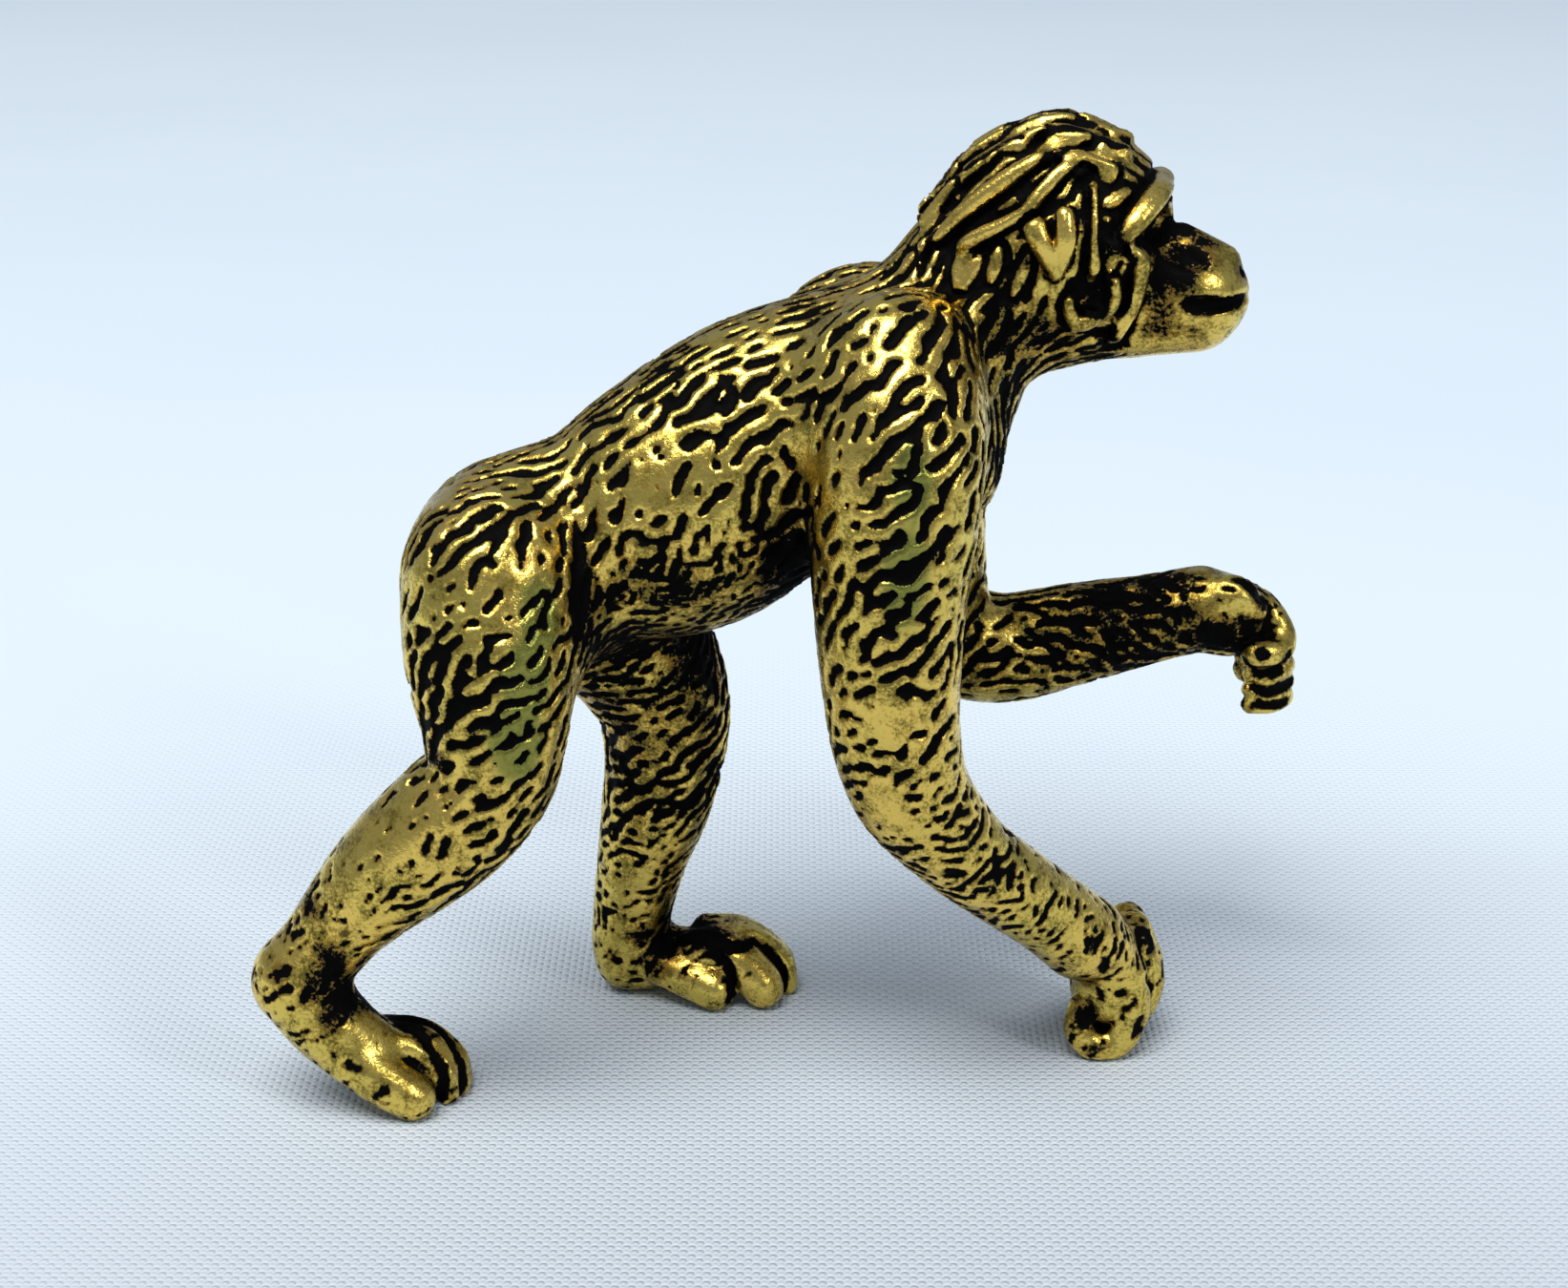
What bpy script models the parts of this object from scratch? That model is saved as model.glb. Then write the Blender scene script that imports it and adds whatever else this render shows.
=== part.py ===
"""Cast brass figurine of a chimpanzee that walks on its knuckles with one hand lifted.

The animal faces +X and stands on z = 0, with its own right side at -Y. It is one solid casting,
and the origin is on the ground below the middle of it.
Each mass of the body is an egg, or a limb: a run of balls with a skin stretched over them.
The masses are blended in a block of distances, and the skin of that block is the figurine.
"""

import bmesh
import bpy
import numpy as np
import openvdb

# Sizes are in millimetres and angles in degrees. A station is x, y, z and the radius there.
MM = 0.001
CELL = 0.30
FAR = 4.0
BLOCK_MARGIN = 1.5
BLOCK_LOW = (-27.5, -12.6, -0.8)
BLOCK_HIGH = (31.7, 12.6, 50.2)
FACE_COUNT = 11000

BRASS_COLOUR = (0.62, 0.43, 0.13, 1.0)
BRASS_ROUGHNESS = 0.32

# How far two masses melt into each other where they meet
LIMB_BLEND = 1.8
MUSCLE_BLEND = 1.5
FOOT_BLEND = 0.8
THUMB_BLEND = 0.3
DIGIT_BLEND = 0.15
CREASE_BLEND = 0.12

# Trunk
TRUNK_WIDTH = 0.94
TRUNK = (
    (-12.3, 0.0, 27.5, 5.75),  # rump
    (-7.9, 0.0, 29.1, 5.65),  # loin
    (-3.9, 0.0, 30.65, 6.80),  # belly
    (0.1, 0.0, 33.2, 6.80),  # ribs
    (4.0, 0.0, 34.5, 6.70),  # chest
    (6.9, 0.0, 36.1, 6.00),  # between the shoulders
    (9.3, -0.1, 38.8, 4.85),  # neck
    (11.4, -0.3, 41.4, 4.70),  # under the skull
)
BUTTOCK = (-12.9, 3.0, 26.2)
BUTTOCK_RADII = (4.3, 3.5, 4.6)
BUTTOCK_PITCH = 10.0
SHOULDER_BLADE = (5.0, 4.8, 37.0)
SHOULDER_BLADE_RADII = (4.6, 2.6, 4.0)
SHOULDER_BLADE_PITCH = 35.0
BREAST = (9.1, 3.2, 33.4)
BREAST_RADII = (2.6, 3.2, 3.6)

# Right hind leg, pushing off behind with its heel up
RIGHT_LEG = (
    (-13.9, -3.6, 28.0, 4.50),  # hip
    (-14.2, -4.9, 24.6, 4.30),  # thigh
    (-14.1, -5.5, 20.9, 3.65),  # above the knee
    (-14.6, -5.7, 18.2, 3.30),  # knee
    (-16.5, -5.4, 16.0, 3.40),  # top of the calf
    (-18.6, -5.1, 14.1, 3.20),  # calf
    (-20.3, -4.8, 12.5, 2.85),
    (-21.9, -4.5, 10.7, 2.45),
    (-23.2, -4.3, 9.0, 2.25),  # ankle
    (-24.3, -4.2, 7.7, 2.20),
)
RIGHT_FOOT = ((-24.7, -4.2, 7.0, 2.25), (-22.8, -4.6, 4.4, 2.10), (-21.0, -4.8, 3.1, 1.70))
RIGHT_TOE_PAD = (-18.8, -4.4, 1.7)
RIGHT_OUTER_TOE = ((-22.4, -5.4, 3.4, 1.40), (-20.6, -6.0, 2.1, 1.40), (-19.1, -6.3, 1.05, 1.25))
RIGHT_BIG_TOE = ((-22.6, -3.4, 4.0, 1.30), (-20.8, -2.6, 2.6, 1.10), (-19.4, -2.1, 1.0, 1.05))
RIGHT_TOES = ((-17.3, -5.15), (-16.75, -4.4), (-16.55, -3.7))

# Left hind leg, flat on the ground below the belly
LEFT_LEG = (
    (-10.5, 3.6, 26.0, 4.80),  # hip
    (-6.9, 4.6, 22.3, 4.30),  # thigh
    (-4.9, 5.3, 18.4, 3.75),  # above the knee
    (-4.6, 5.6, 15.0, 3.35),  # knee
    (-5.1, 6.0, 11.6, 3.00),  # calf
    (-5.8, 6.4, 8.6, 2.55),
    (-6.35, 6.8, 5.6, 2.25),  # ankle
    (-6.6, 7.0, 3.4, 2.15),
)
LEFT_FOOT = ((-6.7, 7.0, 1.8, 1.90), (-4.2, 6.5, 1.9, 1.75), (-2.2, 5.9, 2.0, 1.50))
LEFT_TOE_PAD = (0.1, 5.3, 1.7)
LEFT_BIG_TOE = ((-4.9, 5.2, 2.0, 1.20), (-3.4, 4.3, 1.6, 1.25), (-2.25, 3.7, 1.15, 1.25))
LEFT_INNER_TOE = (
    (-3.0, 5.0, 3.0, 1.20),
    (-1.3, 4.4, 2.9, 1.25),
    (0.1, 3.7, 1.6, 1.25),
    (0.45, 3.5, 1.1, 1.15),
)
LEFT_TOES = ((1.95, 4.95), (2.0, 5.65), (1.7, 6.3))

# A small toe arches back from its tip: along the foot, height and radius, tip last
TOE_ARCH = ((-3.9, 3.3, 1.0), (-1.9, 3.3, 0.77), (-0.3, 2.0, 0.68), (0.0, 0.58, 0.68))
TOE_PAD_RADII = (1.9, 1.5, 1.4)

# Right arm, planted on its knuckles
RIGHT_ARM = (
    (6.2, -5.2, 38.6, 3.50),  # top of the shoulder
    (5.9, -7.0, 35.4, 4.10),  # shoulder
    (5.5, -7.6, 31.8, 4.15),
    (5.25, -7.9, 28.1, 3.85),  # upper arm
    (5.3, -8.1, 23.8, 3.50),
    (5.6, -8.2, 20.3, 3.25),  # above the elbow
    (6.6, -8.0, 17.1, 2.95),  # elbow
    (9.3, -7.4, 13.6, 2.45),  # forearm
    (12.0, -6.5, 11.1, 2.30),
    (14.4, -5.5, 8.95, 2.25),  # wrist
    (16.3, -4.7, 7.1, 2.35),
)
RIGHT_HAND_BACK = (17.6, -3.6, 6.0)
RIGHT_HAND_BACK_RADII = (2.8, 2.7, 1.9)
RIGHT_HAND_PITCH = -48.0
RIGHT_PALM = (17.9, -3.5, 3.6)
RIGHT_PALM_RADII = (1.7, 2.3, 2.3)
RIGHT_LITTLE_FINGER = (
    (18.7, -4.6, 4.6, 1.40),  # knuckle
    (19.1, -4.9, 2.7, 1.10),
    (18.5, -4.95, 0.95, 0.95),
    (17.2, -4.9, 0.75, 0.90),
    (16.4, -4.8, 1.7, 0.85),
    (16.6, -4.6, 2.8, 0.80),  # fingertip
)
RIGHT_FINGER = (
    (19.0, 5.9, 1.05),  # knuckle: x, z and radius
    (19.95, 3.6, 0.88),
    (19.2, 1.4, 0.80),
    (18.0, 0.6, 0.75),
    (17.2, 1.4, 0.70),  # fingertip
)
RIGHT_FINGER_SHIFTS = ((0.50, -3.6, 0.15), (0.75, -2.5, 0.35), (0.70, -1.5, 0.40))
RIGHT_THUMB = (
    (16.6, -1.9, 6.3, 1.10),
    (17.3, -0.9, 4.6, 0.95),
    (17.6, -0.6, 2.8, 0.85),
    (18.4, -0.7, 1.6, 0.75),
)
FIST_PIT = (16.6, -5.55, 2.8)
FIST_PIT_RADII = (0.65, 0.55, 0.75)

# Left arm, lifted in front with the fist hanging from the wrist
LEFT_ARM = (
    (6.8, 5.0, 37.5, 3.50),  # top of the shoulder
    (8.6, 6.8, 34.2, 3.80),  # shoulder
    (9.7, 8.0, 29.5, 3.60),  # upper arm
    (10.1, 8.6, 24.4, 3.40),
    (11.2, 9.0, 20.0, 3.20),  # elbow
    (14.4, 8.8, 18.6, 3.10),
    (18.9, 8.4, 19.4, 2.85),  # forearm
    (22.9, 8.0, 20.2, 2.50),
    (25.6, 7.6, 20.8, 2.40),  # wrist
)
LEFT_PALM = (27.4, 7.4, 20.3)
LEFT_PALM_RADII = (2.1, 1.9, 2.3)
LEFT_PALM_PITCH = -25.0
LEFT_KNUCKLES = (29.2, 6.9, 17.6)
LEFT_KNUCKLES_RADII = (0.9, 1.2, 1.9)
LEFT_INDEX_FINGER = (
    (27.6, 7.9, 20.8, 1.20),  # knuckle
    (29.0, 7.6, 20.8, 1.00),
    (30.1, 6.9, 19.4, 0.85),
    (29.7, 5.9, 18.7, 0.80),
    (28.2, 5.4, 18.7, 0.78),  # fingertip
)
LEFT_FINGER = (
    (28.7, 8.0, 1.2, 0.85),  # knuckle: x, y, height above the finger and radius
    (30.0, 7.7, 0.3, 0.64),
    (30.4, 6.6, 0.0, 0.58),
    (29.4, 5.7, -0.1, 0.56),
    (28.2, 5.7, -0.1, 0.54),  # fingertip
)
LEFT_FINGER_HEIGHTS = (17.6, 16.65, 15.75)
LEFT_THUMB = ((25.6, 6.9, 21.5, 1.30), (27.2, 6.1, 22.0, 1.10), (28.1, 6.0, 21.2, 0.85))

# Head, in its own frame: forward, left and up from the middle of the skull
HEAD = (14.4, -0.4, 44.1)
HEAD_YAW = -16.0
SKULL = (0.5, 0.0, 0.1)
SKULL_RADII = (5.6, 5.1, 5.3)
FOREHEAD = (2.6, 0.0, 1.1)
FOREHEAD_RADII = (3.2, 3.4, 3.0)
CHEEKS = (1.1, 0.0, -2.2)
CHEEKS_RADII = (4.2, 4.3, 3.9)
JAW = ((-2.2, 0.0, -4.2, 3.6), (2.0, 0.0, -3.6, 3.1), (5.0, 0.0, -3.9, 2.4), (7.4, 0.0, -4.1, 1.9))
MUZZLE = (6.9, 0.0, -2.75)
MUZZLE_RADII = (3.25, 2.9, 2.6)
MUZZLE_PITCH = -18.0
NOSE = ((6.6, 0.0, -0.2, 0.70), (8.6, 0.0, -1.5, 1.00))
NOSTRIL = (9.3, 0.5, -1.9)
NOSTRIL_RADII = (0.5, 0.3, 0.25)
MUZZLE_HOLLOW = (6.5, 2.1, -0.4)
MUZZLE_HOLLOW_RADII = (1.7, 0.9, 0.8)
MUZZLE_HOLLOW_PITCH = -30.0
EYE_SOCKET = (5.7, 1.9, 0.6)
EYE_SOCKET_RADII = (1.4, 1.5, 1.0)
EYE_SOCKET_YAW = 25.0
EYE = (4.75, 1.85, 0.65)
EYE_RADII = (0.7, 0.75, 0.6)
BROW = ((3.6, 4.3, 0.2, 0.55), (4.7, 3.4, 1.5, 0.70), (5.4, 1.8, 2.2, 0.72), (5.5, 0.0, 2.1, 0.62))
MOUTH = ((6.7, 3.0, -3.0, 0.20), (7.3, 2.8, -3.05, 0.42), (8.5, 2.3, -3.1, 0.40))
MOUTH_FRONT = ((9.7, 1.2, -3.0, 0.25), (10.2, 0.0, -3.0, 0.20))
EAR_FRONT = ((1.0, 5.3, 1.7, 0.50), (1.1, 5.6, 0.4, 0.50), (0.7, 5.2, -1.2, 0.35))
EAR_BACK = ((-0.4, 5.4, 1.1, 0.65), (0.0, 5.6, 0.2, 0.55), (0.6, 5.2, -1.1, 0.35))

# Locks of hair and folds of the face that lie on the skin of the head
FACE_EDGE = ((4.2, 3.9, -0.4, 0.45), (4.7, 3.6, -1.0, 0.65), (4.6, 3.4, -3.0, 0.50), (3.7, 3.6, -5.0, 0.50))
JOWL = ((3.3, 4.4, -1.5, 0.50), (3.4, 4.3, -3.0, 0.55), (1.7, 4.5, -3.9, 0.60), (1.2, 4.6, -2.6, 0.50))
SIDEBURN = ((2.3, 4.7, 3.0, 0.35), (2.4, 4.9, 1.0, 0.35), (2.4, 4.8, -0.9, 0.45))
EAR_LOCK = (
    (-4.0, 4.0, -0.2, 0.45),
    (-1.2, 4.9, 1.5, 0.45),
    (-0.2, 4.9, 3.0, 0.45),
    (0.9, 4.3, 3.9, 0.50),
    (1.9, 4.0, 3.8, 0.40),
)
CROWN_LOCKS = (
    ((3.4, 2.9, 3.6, 0.40), (0.2, 3.6, 4.4, 0.50), (-3.2, 3.8, 2.4, 0.50), (-5.4, 3.2, -0.8, 0.45)),
    ((3.6, 1.7, 4.2, 0.40), (0.2, 2.0, 5.3, 0.50), (-3.6, 2.2, 3.6, 0.50), (-5.8, 1.9, 0.4, 0.45)),
    ((3.6, 0.6, 4.3, 0.35), (0.2, 0.6, 5.6, 0.50), (-3.8, 0.7, 4.0, 0.50), (-6.1, 0.6, 0.9, 0.45)),
)
LOCK_RISE = 0.08
LOCK_BLEND = 0.25


class Clay:
    """A block of space that holds, at each grid point, the distance to the body's skin."""

    def __init__(self, low, high, cell):
        self.cell = cell
        self.low = np.array(low) - BLOCK_MARGIN
        counts = np.ceil((np.array(high) + BLOCK_MARGIN - self.low) / cell).astype(int) + 1
        self.axes = [self.low[i] + cell * np.arange(counts[i]) for i in range(3)]
        self.field = np.full(counts, FAR)

    def window(self, form, margin):
        """The slice of the block near a form, with the form's distances there."""
        cuts = []
        for axis, low, high in zip(self.axes, form.low - margin, form.high + margin):
            first, last = np.searchsorted(axis, (low, high))
            cuts.append(slice(max(first - 1, 0), last + 1))
        x, y, z = (axis[cut] for axis, cut in zip(self.axes, cuts))
        return tuple(cuts), form.distance(x[:, None, None], y[None, :, None], z[None, None, :])

    def add(self, form, blend):
        cuts, distance = self.window(form, FAR)
        before = self.field[cuts]
        melt = np.maximum(blend - np.abs(distance - before), 0.0) ** 2 / (4.0 * blend)
        self.field[cuts] = np.minimum(distance, before) - melt

    def cut(self, form, blend):
        cuts, distance = self.window(form, blend + self.cell)
        before = self.field[cuts]
        melt = np.maximum(blend - np.abs(-distance - before), 0.0) ** 2 / (4.0 * blend)
        self.field[cuts] = np.maximum(-distance, before) + melt

    def distance_at(self, point):
        place = (np.array(point) - self.low) / self.cell
        corner = np.clip(place.astype(int), 0, np.array(self.field.shape) - 2)
        part = place - corner
        i, j, k = corner
        near = self.field[i : i + 2, j : j + 2, k : k + 2]
        for share in part:
            near = near[0] * (1.0 - share) + near[1] * share
        return float(near)

    def settle(self, point, rise):
        """Slides a point straight to the given height above the skin."""
        point = np.array(point, float)
        for _ in range(5):
            steps = np.eye(3) * self.cell
            slope = np.array([self.distance_at(point + s) - self.distance_at(point - s) for s in steps])
            slope /= max(np.linalg.norm(slope), 1e-6)
            point -= slope * (self.distance_at(point) - rise)
        return point


class Limb:
    """A skin stretched over balls along a smooth curve through the stations."""

    STEPS = 6

    def __init__(self, stations, width=1.0):
        self.width = width
        self.run = self.curve(np.array(stations, float))
        radius = self.run[:, 3].max()
        self.low = self.run[:, :3].min(axis=0) - radius
        self.high = self.run[:, :3].max(axis=0) + radius

    def curve(self, stations):
        ends = np.vstack([2 * stations[0] - stations[1], stations, 2 * stations[-1] - stations[-2]])
        points = []
        for before, start, end, after in zip(ends, ends[1:], ends[2:], ends[3:]):
            for t in np.arange(self.STEPS) / self.STEPS:
                bend = (2 * before - 5 * start + 4 * end - after) * t * t
                twist = (3 * start - before - 3 * end + after) * t**3
                points.append(0.5 * (2 * start + (end - before) * t + bend + twist))
        return np.array(points + [stations[-1]])

    def distance(self, x, y, z):
        nearest = np.inf
        for start, end in zip(self.run, self.run[1:]):
            bone = (end - start)[:3] / (1.0, self.width, 1.0)
            px, py, pz = x - start[0], (y - start[1]) / self.width, z - start[2]
            along = np.clip((px * bone[0] + py * bone[1] + pz * bone[2]) / (bone @ bone), 0.0, 1.0)
            off = (px - bone[0] * along) ** 2 + (py - bone[1] * along) ** 2 + (pz - bone[2] * along) ** 2
            nearest = np.minimum(nearest, np.sqrt(off) - (start[3] + (end[3] - start[3]) * along))
        return nearest * min(self.width, 1.0)


class Egg:
    """An ellipsoid, turned by the columns of a rotation."""

    def __init__(self, centre, radii, turned=np.eye(3)):
        self.centre = np.array(centre, float)
        self.radii = np.array(radii, float)
        self.turned = turned
        reach = np.sqrt(((turned * self.radii) ** 2).sum(axis=1))
        self.low = self.centre - reach
        self.high = self.centre + reach

    def distance(self, x, y, z):
        px, py, pz = x - self.centre[0], y - self.centre[1], z - self.centre[2]
        across = [(px * c[0] + py * c[1] + pz * c[2]) / r for c, r in zip(self.turned.T, self.radii)]
        outward = np.sqrt(sum(a * a for a in across))
        slope = np.sqrt(sum((a / r) ** 2 for a, r in zip(across, self.radii)))
        return outward * (outward - 1.0) / np.maximum(slope, 1e-6)


def turn(yaw=0.0, pitch=0.0):
    """Columns that point forward, left and up: yaw turns to the left, pitch lifts the front."""
    yaw, pitch = np.radians((yaw, pitch))
    about_z = np.array([[np.cos(yaw), -np.sin(yaw), 0], [np.sin(yaw), np.cos(yaw), 0], [0, 0, 1]])
    about_y = np.array([[np.cos(pitch), 0, -np.sin(pitch)], [0, 1, 0], [np.sin(pitch), 0, np.cos(pitch)]])
    return about_z @ about_y


def on_side(place, side):
    """The same place on the right (side -1) or the left (side 1)."""
    return (place[0], place[1] * side, *place[2:])


def shape_trunk(clay):
    clay.add(Limb(TRUNK, TRUNK_WIDTH), LIMB_BLEND)
    for side in (-1, 1):
        clay.add(Egg(on_side(BUTTOCK, side), BUTTOCK_RADII, turn(pitch=BUTTOCK_PITCH)), MUSCLE_BLEND)
        blade = Egg(on_side(SHOULDER_BLADE, side), SHOULDER_BLADE_RADII, turn(pitch=SHOULDER_BLADE_PITCH))
        clay.add(blade, MUSCLE_BLEND)
        clay.add(Egg(on_side(BREAST, side), BREAST_RADII), MUSCLE_BLEND)


def shape_small_toes(clay, tips, inward):
    """Arched toes, each behind its tip; the roots draw together on the inner side."""
    for tip_x, tip_y in tips:
        roots = [tip_y + inward * 0.1 * abs(back) for back, _, _ in TOE_ARCH]
        toe = [(tip_x + arch[0], y, arch[1], arch[2]) for arch, y in zip(TOE_ARCH, roots)]
        clay.add(Limb(toe), DIGIT_BLEND)


def shape_legs(clay):
    clay.add(Limb(RIGHT_LEG), LIMB_BLEND)
    clay.add(Limb(RIGHT_FOOT), FOOT_BLEND)
    clay.add(Egg(RIGHT_TOE_PAD, TOE_PAD_RADII), DIGIT_BLEND)
    clay.add(Limb(RIGHT_OUTER_TOE), THUMB_BLEND)
    clay.add(Limb(RIGHT_BIG_TOE), THUMB_BLEND)
    shape_small_toes(clay, RIGHT_TOES, inward=1)
    clay.add(Limb(LEFT_LEG), LIMB_BLEND)
    clay.add(Limb(LEFT_FOOT), FOOT_BLEND)
    clay.add(Egg(LEFT_TOE_PAD, TOE_PAD_RADII), DIGIT_BLEND)
    clay.add(Limb(LEFT_BIG_TOE), THUMB_BLEND)
    clay.add(Limb(LEFT_INNER_TOE), DIGIT_BLEND)
    shape_small_toes(clay, LEFT_TOES, inward=1)


def shape_right_arm(clay):
    clay.add(Limb(RIGHT_ARM), LIMB_BLEND)
    clay.add(Egg(RIGHT_HAND_BACK, RIGHT_HAND_BACK_RADII, turn(pitch=RIGHT_HAND_PITCH)), FOOT_BLEND)
    clay.add(Egg(RIGHT_PALM, RIGHT_PALM_RADII), FOOT_BLEND)
    clay.add(Limb(RIGHT_LITTLE_FINGER), DIGIT_BLEND)
    for forward, y, raised in RIGHT_FINGER_SHIFTS:
        lifts = np.linspace(1.0, 0.0, len(RIGHT_FINGER)) * raised
        finger = [(x + forward, y, z + lift, radius) for (x, z, radius), lift in zip(RIGHT_FINGER, lifts)]
        clay.add(Limb(finger), DIGIT_BLEND)
    clay.add(Limb(RIGHT_THUMB), THUMB_BLEND)
    clay.cut(Egg(FIST_PIT, FIST_PIT_RADII), DIGIT_BLEND)


def shape_left_arm(clay):
    clay.add(Limb(LEFT_ARM), LIMB_BLEND)
    clay.add(Egg(LEFT_PALM, LEFT_PALM_RADII, turn(pitch=LEFT_PALM_PITCH)), FOOT_BLEND)
    clay.add(Egg(LEFT_KNUCKLES, LEFT_KNUCKLES_RADII), THUMB_BLEND)
    clay.add(Limb(LEFT_INDEX_FINGER), THUMB_BLEND)
    for height in LEFT_FINGER_HEIGHTS:
        finger = [(x, y, height + above, radius) for x, y, above, radius in LEFT_FINGER]
        clay.add(Limb(finger), DIGIT_BLEND)
    clay.add(Limb(LEFT_THUMB), THUMB_BLEND)


def shape_head(clay):
    facing = turn(yaw=HEAD_YAW)

    def spot(place):
        return (*(np.array(HEAD) + facing @ np.array(place[:3])), *place[3:])

    def run(stations, side=1):
        return [spot(on_side(station, side)) for station in stations]

    def egg(place, radii, side=1, **turned):
        return Egg(spot(on_side(place, side)), radii, facing @ turn(**turned))

    def lock(stations, side):
        laid = [(*clay.settle(place[:3], LOCK_RISE), place[3]) for place in run(stations, side)]
        clay.add(Limb(laid), LOCK_BLEND)

    clay.add(egg(SKULL, SKULL_RADII), MUSCLE_BLEND)
    clay.add(egg(FOREHEAD, FOREHEAD_RADII), FOOT_BLEND)
    clay.add(egg(CHEEKS, CHEEKS_RADII), FOOT_BLEND)
    clay.add(Limb(run(JAW)), FOOT_BLEND)
    clay.add(egg(MUZZLE, MUZZLE_RADII, pitch=MUZZLE_PITCH), FOOT_BLEND)
    for side in (-1, 1):
        clay.cut(egg(EYE_SOCKET, EYE_SOCKET_RADII, side, yaw=EYE_SOCKET_YAW * side), LOCK_BLEND)
        clay.add(egg(EYE, EYE_RADII, side), CREASE_BLEND)
        clay.add(Limb(run(BROW, side)), LOCK_BLEND)
        for stations in (FACE_EDGE, JOWL, SIDEBURN, EAR_LOCK, *CROWN_LOCKS):
            lock(stations, side)
        clay.add(Limb(run(EAR_FRONT, side)), DIGIT_BLEND)
        clay.add(Limb(run(EAR_BACK, side)), DIGIT_BLEND)
    clay.add(Limb(run(NOSE)), LOCK_BLEND)
    for side in (-1, 1):
        hollow = egg(MUZZLE_HOLLOW, MUZZLE_HOLLOW_RADII, side, pitch=MUZZLE_HOLLOW_PITCH)
        clay.cut(hollow, LOCK_BLEND)
        clay.cut(egg(NOSTRIL, NOSTRIL_RADII, side), CREASE_BLEND)
    right_half = run(MOUTH + MOUTH_FRONT, -1)
    left_half = run(MOUTH + MOUTH_FRONT[:-1], 1)
    clay.cut(Limb(right_half + left_half[::-1]), CREASE_BLEND)


def keep_largest_shell(model):
    """Deletes crumbs and sealed bubbles, so that one outer skin is left."""
    unseen = set(model.verts)
    shells = []
    while unseen:
        reached = [unseen.pop()]
        for vert in reached:
            near = {edge.other_vert(vert) for edge in vert.link_edges} & unseen
            unseen -= near
            reached.extend(near)
        shells.append(reached)
    shells.sort(key=len)
    for crumb in shells[:-1]:
        bmesh.ops.delete(model, geom=crumb, context="VERTS")


def skin_of(clay, name):
    """The mesh, in metres, where the block's distance is zero, centred over the origin."""
    grid = openvdb.FloatGrid(FAR)
    grid.copyFromArray(clay.field.astype(np.float32))
    places, quads = grid.convertToQuads(0.0)
    places = places * clay.cell + clay.low
    middle = (places.min(axis=0) + places.max(axis=0)) / 2.0
    places = (places - (middle[0], middle[1], 0.0)) * MM
    mesh = bpy.data.meshes.new(name)
    mesh.from_pydata(places.tolist(), [], quads.tolist())
    model = bmesh.new()
    model.from_mesh(mesh)
    keep_largest_shell(model)
    bmesh.ops.triangulate(model, faces=model.faces)
    if model.calc_volume(signed=True) < 0.0:
        bmesh.ops.reverse_faces(model, faces=model.faces)
    model.to_mesh(mesh)
    model.free()
    mesh.shade_smooth()
    return mesh


def brass():
    material = bpy.data.materials.new("antiqued_brass")
    material.use_nodes = True
    shader = material.node_tree.nodes["Principled BSDF"]
    shader.inputs["Base Color"].default_value = BRASS_COLOUR
    shader.inputs["Metallic"].default_value = 1.0
    shader.inputs["Roughness"].default_value = BRASS_ROUGHNESS
    return material


def floor_cutter():
    """A block below z = 0 that files the toes and knuckles flat, so the figurine stands."""
    model = bmesh.new()
    bmesh.ops.create_cube(model, size=1.0)
    reach = np.array(BLOCK_HIGH) - np.array(BLOCK_LOW) + 4.0 * BLOCK_MARGIN
    for vert in model.verts:
        vert.co.x *= reach[0] * MM
        vert.co.y *= reach[1] * MM
        vert.co.z = (vert.co.z - 0.5) * reach[2] * MM
    mesh = bpy.data.meshes.new("floor_cutter")
    model.to_mesh(mesh)
    model.free()
    cutter = bpy.data.objects.new("floor_cutter", mesh)
    bpy.context.scene.collection.objects.link(cutter)
    cutter.hide_render = True
    cutter.display_type = "WIRE"
    return cutter


def main():
    for old in list(bpy.data.objects):
        bpy.data.objects.remove(old, do_unlink=True)
    clay = Clay(BLOCK_LOW, BLOCK_HIGH, CELL)
    shape_trunk(clay)
    shape_legs(clay)
    shape_right_arm(clay)
    shape_left_arm(clay)
    shape_head(clay)
    mesh = skin_of(clay, "chimpanzee_figurine")
    mesh.materials.append(brass())
    figurine = bpy.data.objects.new("chimpanzee_figurine", mesh)
    bpy.context.scene.collection.objects.link(figurine)
    thin = figurine.modifiers.new("Fewer faces", "DECIMATE")
    thin.ratio = FACE_COUNT / len(mesh.polygons)
    file_flat = figurine.modifiers.new("Filed flat", "BOOLEAN")
    file_flat.operation = "DIFFERENCE"
    file_flat.object = floor_cutter()


main()
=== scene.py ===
import bmesh
import bpy
import numpy as np
import openvdb
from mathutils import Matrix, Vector


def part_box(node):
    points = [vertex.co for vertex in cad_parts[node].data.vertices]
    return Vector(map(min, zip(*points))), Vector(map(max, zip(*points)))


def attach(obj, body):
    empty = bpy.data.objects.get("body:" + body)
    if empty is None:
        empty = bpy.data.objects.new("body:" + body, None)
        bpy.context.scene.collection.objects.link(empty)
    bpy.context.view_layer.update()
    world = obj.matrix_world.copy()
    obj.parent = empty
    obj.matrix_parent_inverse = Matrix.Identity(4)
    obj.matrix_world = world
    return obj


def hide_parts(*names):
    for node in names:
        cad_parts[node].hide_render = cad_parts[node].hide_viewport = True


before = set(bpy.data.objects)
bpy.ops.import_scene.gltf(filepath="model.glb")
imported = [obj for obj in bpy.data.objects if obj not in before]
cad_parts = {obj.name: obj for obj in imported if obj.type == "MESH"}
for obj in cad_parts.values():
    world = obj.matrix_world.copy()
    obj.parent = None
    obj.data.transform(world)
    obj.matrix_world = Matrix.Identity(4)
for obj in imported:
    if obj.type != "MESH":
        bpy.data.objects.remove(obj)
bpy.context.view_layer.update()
NODE = "chimpanzee_figurine"

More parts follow.
